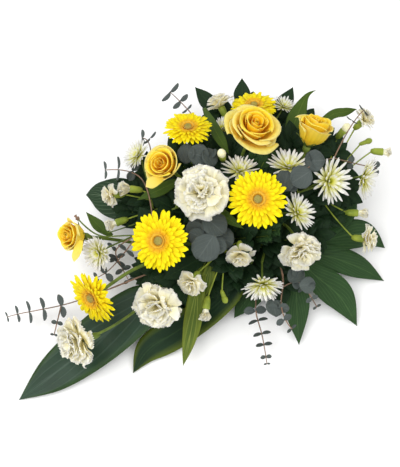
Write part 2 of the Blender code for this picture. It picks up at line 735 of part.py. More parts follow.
def floret_pieces(floret, rng):
    # A calyx tube with a few petals standing out of it, its mouth at the floret's spot
    axis = facing(floret.lean, floret.toward)
    mouth = on_view(floret.x, floret.y, floret.height)
    size = floret.size
    stand = placed(mouth, axis, rng.uniform(0, 6))
    long, wide = CALYX_SHORT if size < 0.012 else CALYX
    calyx = turned(((0, 0), (wide, 0), (0.9 * wide, -0.6 * long), (0, -long)), 4)
    pieces = [(painted(calyx, 0), stand)]
    if floret.openness == 0:
        tip = turned(((0, 0.9 * size), (0.8 * wide, 0.3 * size), (0, -0.003)), 4)
        pieces.append((painted(tip, 1), stand))
    else:
        full = floret.openness == 1
        spread = 0.95 if full else 0.45
        rise = 0.26 if full else 0.80
        row = ((-0.40, spread, rise + 0.12), (0, 1.1 * spread, rise), (0.40, spread, rise + 0.12))
        layer = ((0.26, 0.10), (row,), (0.20, 0.30))
        head = flower(5 if full else 4, (0.14, -0.03), (layer,), ((0, 0.55),), size, 0.08, rng)
        pieces.append((painted(head, 1), stand))
    return pieces, mouth - axis * (long - 0.003), axis


def add_spray_carnations():
    here = Matrix.Identity(4)
    green = material("stem_green", STEM_GREEN)
    white = material("white_petal", WHITE)
    for place, (fork_spot, florets) in SPRAY_CARNATIONS.items():
        rng = random.Random(place)
        fork = spot_point(fork_spot)
        pieces = []
        ends = [on_view(floret.x, floret.y, floret.height) for floret in florets]
        way = (sum(ends, Vector()) / len(ends) - fork).normalized()
        root = fork - way * 0.003
        for floret in florets:
            bits, foot, axis = floret_pieces(floret, rng)
            pieces += bits
            bend = fork + (foot - fork) * 0.55 - axis * 0.10 * (foot - fork).length
            pieces.append((painted(tube([root, bend, foot], 0.0012, 4), 0), here))
        run = foam_stem(fork, way, 0.0018, steps=2, sides=4)
        stem = joined(painted(run, 0), pieces)
        finished("spray_carnation_" + place, stem, here, [green, white])


def shoot(points, spreads, radius, rng):
    # A square stem whose sides run out into a pair of round leaves at each node
    bm = bmesh.new()
    last = len(points) - 1
    rings = []
    for k, point in enumerate(points):
        way = (points[min(k + 1, last)] - points[max(k - 1, 0)]).normalized()
        across = way.cross(TOWARDS_VIEWER).normalized()
        depth = way.cross(across)
        corners = ((1, -1), (1, 1), (-1, 1), (-1, -1))
        offsets = [(across * a + depth * b) * radius for a, b in corners]
        stops = (-0.9, 0.9) if spreads[k] > 0 else (0,)
        for stop in stops:
            centre = point + way * radius * stop
            rings.append([bm.verts.new(centre + offset) for offset in offsets])
        if spreads[k] == 0:
            continue
        low, high = rings[-2:]
        half = spreads[k] / 2
        forward = rng.uniform(0.05, 0.30)
        tip = rng.uniform(0.35, 0.60) * rng.choice((1, 1, -1))
        for side, here in ((1, (0, 1)), (-1, (2, 3))):
            rim = []
            for degrees in (-140, -70, 0, 70, 140):
                angle = math.radians(degrees)
                out = half * (0.52 + 0.48 * math.cos(angle))
                wide = half * 0.48 * math.sin(angle) * side
                place = point + across * side * out + depth * wide
                rim.append(bm.verts.new(place + way * (forward * out + tip * wide)))
            for ring in (low, high):
                strip(bm, [ring[here[0]], ring[here[1]]], rim)
            bm.faces.new((low[here[0]], high[here[0]], rim[0]))
            bm.faces.new((low[here[1]], high[here[1]], rim[-1]))
        for one, two in ((1, 2), (3, 0)):
            bm.faces.new((low[one], low[two], high[two], high[one]))
    bm.faces.new(rings[0])
    bm.faces.new(rings[-1])
    k = 0
    for spread, after in zip(spreads, spreads[1:]):
        k += 1 if spread > 0 else 0
        for one in range(4):
            two = (one + 1) % 4
            bm.faces.new((rings[k][one], rings[k][two], rings[k + 1][two], rings[k + 1][one]))
        k += 1
    return closed_mesh(bm)


def add_eucalyptus():
    here = Matrix.Identity(4)
    grey = material("eucalyptus_grey", EUCALYPTUS_GREY)
    for place, runs in SHOOTS.items():
        rng = random.Random(place)
        pieces = []
        for run in runs:
            points = [on_view(x, y, height) for x, y, height, spread in run]
            spreads = [spread for x, y, height, spread in run]
            pieces.append((shoot(points, spreads, 0.0010, rng), here))
        start = on_view(*runs[0][0][:3])
        toward = (on_view(*runs[0][1][:3]) - start).normalized()
        end = start + toward * 0.003
        stem = foam_stem(end, toward, 0.0014, sides=4)
        finished("eucalyptus_" + place, joined(stem, pieces), here, [grey])


def smooth_run(values, t):
    # Catmull-Rom through a list of vectors or numbers, t from 0 to 1
    last = len(values) - 1
    k = min(int(t * last), last - 1)
    part = t * last - k
    a = values[max(k - 1, 0)]
    b = values[k]
    c = values[k + 1]
    d = values[min(k + 2, last)]
    line = (c - b) * part
    bend = (c * 2.0 - b * 2.0 + a - c) * 0.5
    first = (c - a) * 0.5
    second = (d - b) * 0.5
    square = part * part
    cube = square * part
    flat = b * (2 * cube - 3 * square + 1) + c * (3 * square - 2 * cube)
    return flat + first * (cube - 2 * square + part) + second * (cube - square)


def leaf_blade(run, rows, fold, wave):
    spots = [on_view(*spot[:3]) for spot in run]
    widths = [spot[3] for spot in run]
    face = (TOWARDS_VIEWER + Vector((0, 0, 1))).normalized()

    def shape(u, t):
        middle = smooth_run(spots, t)
        ahead = smooth_run(spots, min(1, t + 0.02)) - smooth_run(spots, max(0, t - 0.02))
        across = ahead.normalized().cross(face).normalized()
        half = max(0.0, smooth_run(widths, t)) / 2 if t < 1 else 0.0
        lift = fold * half * abs(u) + wave * half * abs(u) * math.sin(9 * t + 2 * u)
        return middle + across * half * u + face * lift

    return sheet(shape, 2, rows, LEAF_THICK)


def palmate_leaf(lobes):
    # Lobes fan out from one palm in a single sheet, cut down between each two
    face = (TOWARDS_VIEWER + Vector((0, 0, 1))).normalized()
    rows = []
    for run in lobes:
        spots = [on_view(*spot[:3]) for spot in run]
        widths = [spot[3] for spot in run]
        lobe = []
        for k in range(1, len(spots)):
            ahead = (spots[min(k + 1, len(spots) - 1)] - spots[k - 1]).normalized()
            across = ahead.cross(face).normalized() * widths[k] / 2
            lift = face * 0.12 * widths[k]
            if widths[k] > 0:
                lobe.append([spots[k] - across + lift, spots[k], spots[k] + across + lift])
            else:
                lobe.append([spots[k]])
        rows.append(lobe)
    bm = bmesh.new()
    palm = on_view(*lobes[0][0][:3])
    centre = bm.verts.new(palm)
    valleys = []
    first = bm.verts.new(palm + (rows[0][0][0] - palm) * 0.5)
    valleys.append(first)
    for one, two in zip(rows, rows[1:]):
        between = (one[0][2] + two[0][0]) / 2
        valleys.append(bm.verts.new(palm + (between - palm) * 0.62))
    valleys.append(bm.verts.new(palm + (rows[-1][0][2] - palm) * 0.5))
    for k, lobe in enumerate(rows):
        lower = [valleys[k], centre, valleys[k + 1]]
        for row in lobe:
            upper = [bm.verts.new(point) for point in row]
            strip(bm, lower, upper)
            lower = upper
    bmesh.ops.recalc_face_normals(bm, faces=bm.faces)
    bmesh.ops.solidify(bm, geom=bm.faces[:], thickness=LEAF_THICK)
    bmesh.ops.recalc_face_normals(bm, faces=bm.faces)
    made = bpy.data.meshes.new("palmate")
    bm.to_mesh(made)
    bm.free()
    return made


def add_leaves():
    here = Matrix.Identity(4)
    green = material("leaf_green", GREEN_LEAF, 0.4)
    for name, blades in LEAVES.items():
        crown = LEAF_CROWNS.get(name)
        first = on_view(*blades[0][0][:3])
        toward = (on_view(*blades[0][1][:3]) - first).normalized()
        if name == "leaf_fatsia":
            pieces = [(palmate_leaf(blades), here)]
        else:
            pieces = []
            for blade in blades:
                rows = 7 if crown is None else len(blade) - 1
                pieces.append((leaf_blade(blade, rows, 0.12, 0.10), here))
        if crown is None:
            stem = foam_stem(first + toward * 0.006, toward, 0.0024, sides=4)
        else:
            start = spot_point(crown)
            stem = foam_stem(start, toward, 0.0022, sides=4)
            for blade in blades if name != "leaf_fatsia" else blades[:1]:
                base = on_view(*blade[0][:3])
                ahead = (on_view(*blade[1][:3]) - base).normalized()
                pieces.append((tube([start, base + ahead * 0.008], 0.0017, 4), here))
        finished(name, joined(stem, pieces), here, [green])


def add_tray():
    bm = bmesh.new()
    bmesh.ops.create_cube(bm, size=1)
    bmesh.ops.scale(bm, vec=(TRAY_LENGTH, TRAY_WIDTH, TRAY_HEIGHT), verts=bm.verts)
    bmesh.ops.translate(bm, vec=(0, 0, TRAY_HEIGHT / 2), verts=bm.verts)
    upright = [e for e in bm.edges if abs(e.verts[0].co.z - e.verts[1].co.z) > TRAY_WALL]
    bmesh.ops.bevel(bm, geom=upright, offset=TRAY_CORNER, segments=3, affect="EDGES", profile=0.5)
    top = [f for f in bm.faces if f.normal.z > 0.9]
    bmesh.ops.delete(bm, geom=top, context="FACES_ONLY")
    mesh = bpy.data.meshes.new("tray")
    bm.to_mesh(mesh)
    bm.free()
    thing = scratch_object(mesh)
    wall = thing.modifiers.new("wall", "SOLIDIFY")
    wall.thickness = TRAY_WALL
    wall.offset = -1
    shell = evaluated(thing)
    turn = Matrix.Rotation(BRICK_TURN, 4, "Z")
    finished("spray_tray", shell, turn, [material("tray_green", TRAY_GREEN, 0.4)])


def add_foam():
    # A plain hole stands round each stem
    bm = bmesh.new()
    bmesh.ops.create_cube(bm, size=1)
    bmesh.ops.scale(bm, vec=(FOAM_LENGTH, FOAM_WIDTH, FOAM_HEIGHT), verts=bm.verts)
    middle = TRAY_WALL + GAP + FOAM_HEIGHT / 2
    bmesh.ops.translate(bm, vec=(0, 0, middle), verts=bm.verts)
    bmesh.ops.transform(bm, matrix=Matrix.Rotation(BRICK_TURN, 4, "Z"), verts=bm.verts)
    mesh = bpy.data.meshes.new("foam")
    bm.to_mesh(mesh)
    bm.free()
    block = scratch_object(mesh)
    cutters = bpy.data.collections.new("Holes")
    bpy.context.scene.collection.children.link(cutters)
    for hole in HOLES:
        cutters.objects.link(bpy.data.objects.new("hole", hole))
    cut = block.modifiers.new("holes", "BOOLEAN")
    cut.operation = "DIFFERENCE"
    cut.operand_type = "COLLECTION"
    cut.collection = cutters
    cut.solver = "MANIFOLD"
    pierced = evaluated(block)
    for cutter in list(cutters.objects):
        bpy.data.objects.remove(cutter)
    bpy.data.collections.remove(cutters)
    foam = material("foam_green", FOAM_GREEN, 0.9)
    finished("foam_block", pierced, Matrix.Identity(4), [foam])


def main():
    for thing in list(bpy.data.objects):
        bpy.data.objects.remove(thing)
    spray = bpy.data.collections.new("Casket spray")
    bpy.context.scene.collection.children.link(spray)
    add_gerberas()
    add_roses()
    add_carnations()
    add_mums()
    add_spray_carnations()
    add_eucalyptus()
    add_leaves()
    add_tray()
    add_foam()


main()
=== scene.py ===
# A casket spray: gerberas, roses, carnations and chrysanthemums over dark foliage.
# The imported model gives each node's place; here every flower and leaf gets its finer shape.
import math
import random

import bmesh
import bpy
from mathutils import Matrix, Vector


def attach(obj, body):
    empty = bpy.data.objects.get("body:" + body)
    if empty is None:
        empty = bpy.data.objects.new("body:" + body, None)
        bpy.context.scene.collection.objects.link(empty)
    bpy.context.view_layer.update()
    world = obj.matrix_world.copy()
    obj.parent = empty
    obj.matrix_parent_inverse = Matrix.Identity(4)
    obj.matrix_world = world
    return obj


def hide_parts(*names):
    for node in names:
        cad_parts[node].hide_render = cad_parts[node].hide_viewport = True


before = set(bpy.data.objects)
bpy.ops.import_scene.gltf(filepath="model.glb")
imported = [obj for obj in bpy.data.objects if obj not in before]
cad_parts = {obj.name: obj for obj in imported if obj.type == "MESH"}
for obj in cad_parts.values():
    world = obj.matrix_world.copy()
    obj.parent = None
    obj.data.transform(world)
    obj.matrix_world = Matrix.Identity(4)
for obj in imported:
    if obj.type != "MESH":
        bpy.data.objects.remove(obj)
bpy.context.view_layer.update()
scene = bpy.context.scene
print("Frame loaded:", len(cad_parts), "nodes")

# Places in the view: x and y in steps of the 400 by 467 frame, heights in millimetres.
# Widths of leaves, and sizes of stray petals and spray carnations, are in millimetres too.
view = {
    "pixel": 0.0016,          # metres for each step of the frame
    "frameHeight": 467,
    "elevation": math.radians(65),
    "distance": 2.4,
    "target": Vector((-0.0352, 0.0291, 0)),
    "centre": (200, 233.5),
    "sensor": 36,
}
towardsViewer = Vector((0, -math.cos(view["elevation"]), math.sin(view["elevation"])))
upInView = Vector((0, math.sin(view["elevation"]), math.cos(view["elevation"])))
rightInView = Vector((1, 0, 0))
leafUp = (towardsViewer + Vector((0, 0, 1))).normalized()
here = Matrix.Identity(4)


def onView(x, y, height):
    # The point at that height which the camera sees at x, y
    eye = view["target"] + towardsViewer * view["distance"]
    across = rightInView * (x - view["centre"][0]) * view["pixel"]
    along = upInView * (view["centre"][1] - y) * view["pixel"]
    seen = view["target"] + across + along
    share = (height / 1000 - eye.z) / (seen.z - eye.z)
    return eye + (seen - eye) * share


def facing(lean, toward):
    # lean is the angle away from the camera, toward its direction in the view
    sideways = rightInView * math.cos(math.radians(toward))
    sideways += upInView * math.sin(math.radians(toward))
    lean = math.radians(lean)
    return (towardsViewer * math.cos(lean) + sideways * math.sin(lean)).normalized()


def placed(point, axis, roll=0.0):
    turn = axis.to_track_quat("Z", "Y").to_matrix().to_4x4()
    return Matrix.Translation(point) @ turn @ Matrix.Rotation(roll, 4, "Z")


def lying(wide, length):
    # The turn of a petal or leaf with those directions across and along
    return Matrix((wide, length, wide.cross(length))).transposed().to_4x4()


# Modelling helpers
def pickOnly(*pieces):
    if bpy.context.mode != "OBJECT":
        bpy.ops.object.mode_set(mode="OBJECT")
    bpy.ops.object.select_all(action="DESELECT")
    for piece in pieces:
        piece.select_set(True)
    if pieces:
        bpy.context.view_layer.objects.active = pieces[0]


def discard(*pieces):
    for piece in pieces:
        bpy.data.objects.remove(piece)


def applyAll(piece):
    pickOnly(piece)
    for modifier in list(piece.modifiers):
        bpy.ops.object.modifier_apply(modifier=modifier.name)


def thicken(piece, thickness):
    wall = piece.modifiers.new("wall", "SOLIDIFY")
    wall.thickness = thickness
    wall.offset = 0
    applyAll(piece)
    bpy.ops.object.shade_smooth()


def addGrid(name, columns, rows):
    # A flat grid, x from -1 to 1 across and y from 0 to 1 along
    pickOnly()
    bpy.ops.mesh.primitive_grid_add(x_subdivisions=columns, y_subdivisions=rows, size=1,
                                    location=(0, 0.5, 0))
    piece = bpy.context.object
    piece.name = name
    piece.scale = (2, 1, 1)
    bpy.ops.object.transform_apply(location=True, rotation=True, scale=True)
    return piece


def petalFromRows(name, columns, rows, cup=0.0, frill=0.0, thickness=0.015):
    # Each row of the grid is scaled and moved into the petal: (along, half width, lift)
    last = len(rows) - 1
    petal = addGrid(name, columns, last)
    bpy.ops.object.mode_set(mode="EDIT")
    bpy.ops.mesh.select_mode(type="VERT")
    bm = bmesh.from_edit_mesh(petal.data)
    bm.verts.ensure_lookup_table()
    rowOf = [round(vert.co.y * last) for vert in bm.verts]
    columnOf = [vert.co.x for vert in bm.verts]
    stepOf = [round((column + 1) / 2 * columns) for column in columnOf]

    def pick(test):
        for vert in bm.verts:
            vert.select = test(vert.index)
        bm.select_flush_mode()
        bmesh.update_edit_mesh(petal.data)

    for k, (along, half, lift) in enumerate(rows):
        pick(lambda i: rowOf[i] == k)
        bpy.ops.transform.resize(value=(half, 1, 1), center_override=(0, 0, 0))
        bpy.ops.transform.translate(value=(0, along - k / last, lift))
    if cup:
        for edge in sorted({round(abs(c), 4) for c in columnOf if abs(c) > 0.01}):
            pick(lambda i: rowOf[i] > 0 and abs(abs(columnOf[i]) - edge) < 0.001)
            bpy.ops.transform.translate(value=(0, 0, cup * edge * edge))
    if frill:
        for level, share in ((last, 1.0), (last - 1, 0.55), (last - 2, 0.2)):
            for odd in (0, 1):
                pick(lambda i: rowOf[i] == level and stepOf[i] % 2 == odd)
                rise = frill * share * (1 if odd else -1)
                push = (0.35 * rise) if level == last else 0
                bpy.ops.transform.translate(value=(0, push, rise))
    bpy.ops.object.mode_set(mode="OBJECT")
    thicken(petal, thickness)
    return petal


def sheetFrom(name, columns, rows, shape, thickness):
    # A grid laid into place by shape(u, t): u from -1 to 1 across, t from 0 to 1 along
    piece = addGrid(name, columns, rows)
    for vert in piece.data.vertices:
        vert.co = shape(vert.co.x, vert.co.y)
    thicken(piece, thickness)
    return piece


def turnedFrom(name, profile, sides=12):
    # A profile of (radius, height) points spun once round Z
    pickOnly()
    mesh = bpy.data.meshes.new(name)
    edges = [(k, k + 1) for k in range(len(profile) - 1)]
    mesh.from_pydata([(r, 0, z) for r, z in profile], edges, [])
    piece = bpy.data.objects.new(name, mesh)
    scene.collection.objects.link(piece)
    pickOnly(piece)
    bpy.ops.object.mode_set(mode="EDIT")
    bpy.ops.mesh.select_all(action="SELECT")
    bpy.ops.mesh.spin(steps=sides, angle=2 * math.pi, center=(0, 0, 0), axis=(0, 0, 1))
    bpy.ops.mesh.select_all(action="SELECT")
    bpy.ops.mesh.remove_doubles(threshold=0.00001)
    bpy.ops.mesh.normals_make_consistent(inside=False)
    bpy.ops.object.mode_set(mode="OBJECT")
    bpy.ops.object.shade_smooth()
    return piece


def twigAlong(points, radii):
    # A round stem through the points, of one radius or of one for each
    if isinstance(radii, float):
        radii = [radii] * len(points)
    curve = bpy.data.curves.new("twig", "CURVE")
    curve.dimensions = "3D"
    spline = curve.splines.new("NURBS")
    spline.points.add(len(points) - 1)
    for knot, point, radius in zip(spline.points, points, radii):
        knot.co = (*point, 1)
        knot.radius = radius
    spline.use_endpoint_u = True
    spline.order_u = min(4, len(points))
    spline.resolution_u = 5
    curve.bevel_depth = 1
    curve.bevel_resolution = 2
    curve.use_fill_caps = True
    piece = bpy.data.objects.new("twig", curve)
    scene.collection.objects.link(piece)
    pickOnly(piece)
    bpy.ops.object.convert(target="MESH")
    bpy.ops.object.shade_smooth()
    return bpy.context.object


def copyOf(source, matrix):
    copy = source.copy()
    copy.data = source.data.copy()
    copy.data.transform(matrix)
    scene.collection.objects.link(copy)
    return copy


def gathered(name, pieces, finish, nodes=()):
    # Joins the pieces into one object of one finish under the root, and hides the nodes it takes
    # the place of
    pickOnly(*pieces)
    if len(pieces) > 1:
        bpy.ops.object.join()
    whole = bpy.context.object
    whole.name = name
    whole.data.name = name
    whole.data.materials.clear()
    whole.data.materials.append(finishes[finish])
    for face in whole.data.polygons:
        face.material_index = 0
    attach(whole, "root")
    if nodes:
        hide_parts(*nodes)
    return whole


def around(source, count, rng, radius, height, tilt, length, width=None, start=0.0, loose=1.0):
    # Copies of a petal that points along Y, evenly round Z with small chance differences
    width = length if width is None else width
    made = []
    for k in range(count):
        spin = start + 2 * math.pi * (k + rng.uniform(-0.16, 0.16) * loose) / count
        lean = tilt + rng.uniform(-4, 4) * loose
        size = 1 + rng.uniform(-0.05, 0.05) * loose
        roll = rng.uniform(-7, 7) * loose
        matrix = Matrix.Rotation(spin, 4, "Z") @ Matrix.Translation((0, radius, height))
        matrix = matrix @ Matrix.Rotation(math.radians(lean), 4, "X")
        matrix = matrix @ Matrix.Rotation(math.radians(roll), 4, "Y")
        matrix = matrix @ Matrix.Diagonal((width * size, length * size, length * size, 1))
        made.append((source, matrix))
    return made


goldenAngle = 2.39996


def heaped(source, count, reach, rise):
    # Copies in a spiral like a sunflower's, as high as rise(radius) says
    made = []
    for k in range(count):
        radius = reach * math.sqrt((k + 0.5) / count)
        turn = goldenAngle * k
        spot = (radius * math.cos(turn), radius * math.sin(turn), rise(radius))
        made.append((source, Matrix.Translation(spot)))
    return made


def ruffle(piece, grain, strength):
    # Clouds push the thin sheets about, alike on both their sides
    for axis, seed in (("X", 1.0), ("Y", 1.3), ("Z", 0.8)):
        cloud = bpy.data.textures.new("ruffle" + axis, "CLOUDS")
        cloud.noise_scale = grain * seed
        push = piece.modifiers.new("ruffle" + axis, "DISPLACE")
        push.texture = cloud
        push.direction = axis
        push.strength = strength
        push.mid_level = 0.5
    applyAll(piece)


def settle(parts, matrix):
    return [copyOf(source, matrix @ place) for source, place in parts]


# Materials. Colours are in thousandths
waveTurn = 6.2832


def addNode(tree, kind, inputs, **settings):
    # Each input gets a plain value, or a link from another node's socket
    node = tree.nodes.new("ShaderNode" + kind)
    for label, value in settings.items():
        setattr(node, label, value)
    for key, value in dict(inputs).items():
        if isinstance(value, bpy.types.NodeSocket):
            tree.links.new(value, node.inputs[key])
        else:
            node.inputs[key].default_value = value
    return node


def maths(tree, operation, *values):
    return addNode(tree, "Math", enumerate(values), operation=operation).outputs[0]


def painted(colour):
    return (*(part / 1000 for part in colour), 1)


def mixColours(tree, factor, first, second, blend="MIX"):
    inputs = {0: factor, 6: first, 7: second}
    for key, value in inputs.items():
        if isinstance(value, tuple):
            inputs[key] = painted(value)
    return addNode(tree, "Mix", inputs, data_type="RGBA", blend_type=blend).outputs[2]


def shaded(tree, colour, shade):
    grey = addNode(tree, "CombineColor", {0: shade, 1: shade, 2: shade})
    return mixColours(tree, 1.0, colour, grey.outputs[0], "MULTIPLY")


def newGroup(name, inputs, outputs):
    # A label with no default takes a vector
    group = bpy.data.node_groups.new(name, "ShaderNodeTree")
    for label, value in inputs.items():
        kind = "NodeSocketVector" if value is None else "NodeSocketFloat"
        socket = group.interface.new_socket(label, in_out="INPUT", socket_type=kind)
        if value is not None:
            socket.default_value = value
    for label in outputs:
        group.interface.new_socket(label, in_out="OUTPUT", socket_type="NodeSocketFloat")
    return group, group.nodes.new("NodeGroupInput").outputs, group.nodes.new("NodeGroupOutput")


def streakGroup():
    # Fine lines along a petal, read from its own UV map
    group, given, out = newGroup("petalStreaks", {"UV": None, "Count": 8.0, "Waver": 0.4},
                                 ("Lines",))
    parts = addNode(group, "SeparateXYZ", {0: given["UV"]})
    wobble = addNode(group, "TexNoise", {"Scale": 4, "Vector": given["UV"]})
    shift = maths(group, "MULTIPLY", wobble.outputs[0], given["Waver"])
    across = maths(group, "MULTIPLY", parts.outputs[0], given["Count"])
    wave = maths(group, "MULTIPLY", maths(group, "ADD", across, shift), waveTurn)
    wave = maths(group, "MULTIPLY_ADD", maths(group, "SINE", wave), 0.5, 0.5)
    group.links.new(wave, out.inputs[0])
    return group


def veinGroup():
    # A midrib and slanting side veins, read from the leaf's own UV map
    group, given, out = newGroup("leafVeins", {"UV": None, "Count": 14.0, "Slant": 0.5},
                                 ("Midrib", "Veins", "Side"))
    parts = addNode(group, "SeparateXYZ", {0: given["UV"]})
    side = maths(group, "ABSOLUTE", maths(group, "SUBTRACT", parts.outputs[0], 0.5))
    side = maths(group, "MULTIPLY", side, 2.0)
    rib = maths(group, "SUBTRACT", 1.0, maths(group, "MULTIPLY", side, 14.0))
    slide = maths(group, "MULTIPLY", side, given["Slant"])
    along = maths(group, "SUBTRACT", parts.outputs[1], slide)
    wave = maths(group, "MULTIPLY", maths(group, "MULTIPLY", along, given["Count"]), waveTurn)
    wave = maths(group, "MAXIMUM", maths(group, "SINE", wave), 0.0)
    group.links.new(maths(group, "MAXIMUM", rib, 0.0), out.inputs["Midrib"])
    group.links.new(maths(group, "POWER", wave, 6.0), out.inputs["Veins"])
    group.links.new(side, out.inputs["Side"])
    return group


def mottleGroup():
    # Soft light and dark patches in object space
    group, given, out = newGroup("mottle", {"Place": None, "Scale": 30.0, "Depth": 0.2},
                                 ("Shade",))
    noise = addNode(group, "TexNoise", {"Detail": 3, "Vector": given["Place"],
                                        "Scale": given["Scale"]})
    swing = maths(group, "SUBTRACT", noise.outputs[0], 0.5)
    swing = maths(group, "MULTIPLY", swing, given["Depth"])
    group.links.new(maths(group, "ADD", swing, 1.0), out.inputs[0])
    return group


streaks = streakGroup()
veins = veinGroup()
mottle = mottleGroup()


def newMaterial(name, roughness, subsurface=0.0, specular=0.5, sheen=0.0):
    material = bpy.data.materials.new(name)
    material.use_nodes = True
    tree = material.node_tree
    shader = tree.nodes["Principled BSDF"]
    shader.inputs["Roughness"].default_value = roughness
    shader.inputs["Specular IOR Level"].default_value = specular
    shader.inputs["Subsurface Weight"].default_value = subsurface
    shader.inputs["Subsurface Radius"].default_value = (0.45, 0.44, 0.38)
    shader.inputs["Subsurface Scale"].default_value = 0.006
    shader.inputs["Sheen Weight"].default_value = sheen
    return material, tree, shader, addNode(tree, "TexCoord", ()).outputs


def ramp(tree, factor, stops):
    node = addNode(tree, "ValToRGB", {0: factor})
    band = node.color_ramp
    while len(band.elements) < len(stops):
        band.elements.new(0.5)
    for element, (position, *colour) in zip(band.elements, stops):
        element.position = position
        element.color = painted(colour)
    return node.outputs[0]


def finished(tree, shader, colour, height, strength, distance=0.0004):
    bump = addNode(tree, "Bump", {"Strength": strength, "Distance": distance, "Height": height})
    tree.links.new(colour, shader.inputs["Base Color"])
    tree.links.new(bump.outputs[0], shader.inputs["Normal"])


def petalMaterial(name, stops, lines=6, lineShade=0.1, patches=0.12, glow=0.2):
    # Colour runs from root to tip, with fine lines and soft patches
    material, tree, shader, place = newMaterial(name, 0.6, glow, 0.15, 0.05)
    parts = addNode(tree, "SeparateXYZ", {0: place["UV"]})
    line = addNode(tree, "Group", {"UV": place["UV"], "Count": lines, "Waver": 0.5},
                   node_tree=streaks)
    patch = addNode(tree, "Group", {"Place": place["Object"], "Scale": 60, "Depth": patches},
                    node_tree=mottle)
    shade = maths(tree, "SUBTRACT", 1.0, maths(tree, "MULTIPLY", line.outputs[0], lineShade))
    shade = maths(tree, "MULTIPLY", shade, patch.outputs[0])
    colour = shaded(tree, ramp(tree, parts.outputs[1], stops), shade)
    finished(tree, shader, colour, line.outputs[0], 0.35)
    return material


def leafMaterial(name, blade, vein, margin=None, marginFrom=0.7, count=14, slant=0.5,
                 veinShade=0.5, roughness=0.5, patches=0.3, specular=0.14):
    material, tree, shader, place = newMaterial(name, roughness, 0.05, specular)
    lines = addNode(tree, "Group", {"UV": place["UV"], "Count": count, "Slant": slant},
                    node_tree=veins).outputs
    patch = addNode(tree, "Group", {"Place": place["Object"], "Scale": 25, "Depth": patches},
                    node_tree=mottle)
    colour = mixColours(tree, maths(tree, "MULTIPLY", lines["Veins"], veinShade), blade, vein)
    if margin:
        edge = maths(tree, "SUBTRACT", lines["Side"], marginFrom)
        edge = maths(tree, "MULTIPLY", edge, 1 / (1 - marginFrom))
        edge = addNode(tree, "Clamp", {0: edge}).outputs[0]
        colour = mixColours(tree, edge, colour, margin)
    colour = mixColours(tree, maths(tree, "MULTIPLY", lines["Midrib"], 0.7), colour, vein)
    colour = shaded(tree, colour, patch.outputs[0])
    height = maths(tree, "ADD", lines["Midrib"], lines["Veins"])
    finished(tree, shader, colour, height, 0.4, 0.0006)
    return material


def skinMaterial(name, light, dark, scale=80, roughness=0.45, grain=0.2):
    # Two colours in soft patches, for stems, calyxes, foam and the tray
    material, tree, shader, place = newMaterial(name, roughness, 0.0, 0.2)
    noise = addNode(tree, "TexNoise", {"Scale": scale, "Detail": 4, "Vector": place["Object"]})
    colour = ramp(tree, noise.outputs[0], ((0.3, *dark), (0.7, *light)))
    finished(tree, shader, colour, noise.outputs[0], grain)
    return material


# Stops are the place from root to tip, then red, green and blue
petalLooks = {
    # Gerbera petals turn orange towards the root and the inner ring is darker orange: partly the
    # flower's own tint, partly painted shade among the crowded petals near the centre
    "gerberaPetal": {"stops": ((0, 930, 360, 0), (0.3, 970, 620, 0), (0.6, 980, 780, 0),
                               (1, 980, 860, 0)), "lines": 3, "lineShade": 0.18, "patches": 0.08},
    "gerberaInner": {"stops": ((0, 800, 320, 10), (0.5, 930, 500, 10), (1, 970, 680, 0)),
                     "lines": 3, "lineShade": 0.2, "patches": 0.08},
    "gerberaRing": {"stops": ((0, 780, 340, 10), (1, 920, 550, 40)), "lines": 2},
    "rosePetal": {"stops": ((0, 970, 370, 0), (0.5, 980, 490, 0), (0.85, 980, 600, 20),
                            (1, 980, 720, 90)),
                  "lines": 9, "lineShade": 0.04, "patches": 0.1, "glow": 0.7},
    "rosePale": {"stops": ((0, 940, 460, 0), (0.45, 930, 560, 20), (0.8, 880, 620, 70),
                           (1, 820, 680, 200)),
                 "lines": 9, "lineShade": 0.06, "patches": 0.12, "glow": 0.6},
    # Carnation petals run from deep cream at the root to near white at the tip: partly their own
    # cream, partly painted warm shade deep in the bloom
    "carnationPetal": {"stops": ((0, 950, 820, 340), (0.5, 960, 880, 520), (0.85, 970, 920, 680),
                                 (1, 970, 940, 780)),
                       "lines": 7, "lineShade": 0.03, "patches": 0.06, "glow": 0.8},
    "mumPetal": {"stops": ((0, 480, 520, 20), (0.2, 760, 740, 80), (0.36, 840, 830, 400),
                           (0.52, 860, 850, 780), (1, 870, 860, 830)),
                 "lines": 2, "lineShade": 0.12},
}
leafLooks = {
    "darkLeaf": {"blade": (10, 28, 10), "vein": (22, 52, 18)},
    "lobedLeaf": {"blade": (21, 56, 16), "vein": (52, 110, 34),
                  "count": 7, "slant": 0.7, "patches": 0.7},
    "tailLeaf": {"blade": (16, 42, 22), "vein": (60, 100, 72), "margin": (26, 62, 12),
                 "count": 3, "slant": 0.9, "veinShade": 0.35,
                 "roughness": 0.45, "patches": 0.8, "specular": 0.25},
    "marginedLeaf": {"blade": (10, 30, 12), "vein": (26, 60, 20), "margin": (85, 120, 12),
                     "marginFrom": 0.5, "count": 2, "slant": 0.9, "veinShade": 0.3},
    "bladeLeaf": {"blade": (75, 120, 16), "vein": (230, 270, 50), "margin": (140, 180, 20),
                  "marginFrom": 0.3, "count": 2, "slant": 0.9, "veinShade": 0.7, "patches": 0.6},
    "freshLeaf": {"blade": (45, 85, 10), "vein": (100, 160, 22), "patches": 0.6},
    "veinedLeaf": {"blade": (18, 42, 18), "vein": (85, 130, 75), "count": 9, "veinShade": 0.7},
    "eucalyptusLeaf": {"blade": (72, 88, 82), "vein": (115, 135, 125), "count": 6,
                       "veinShade": 0.3, "roughness": 0.65, "patches": 0.6},
}
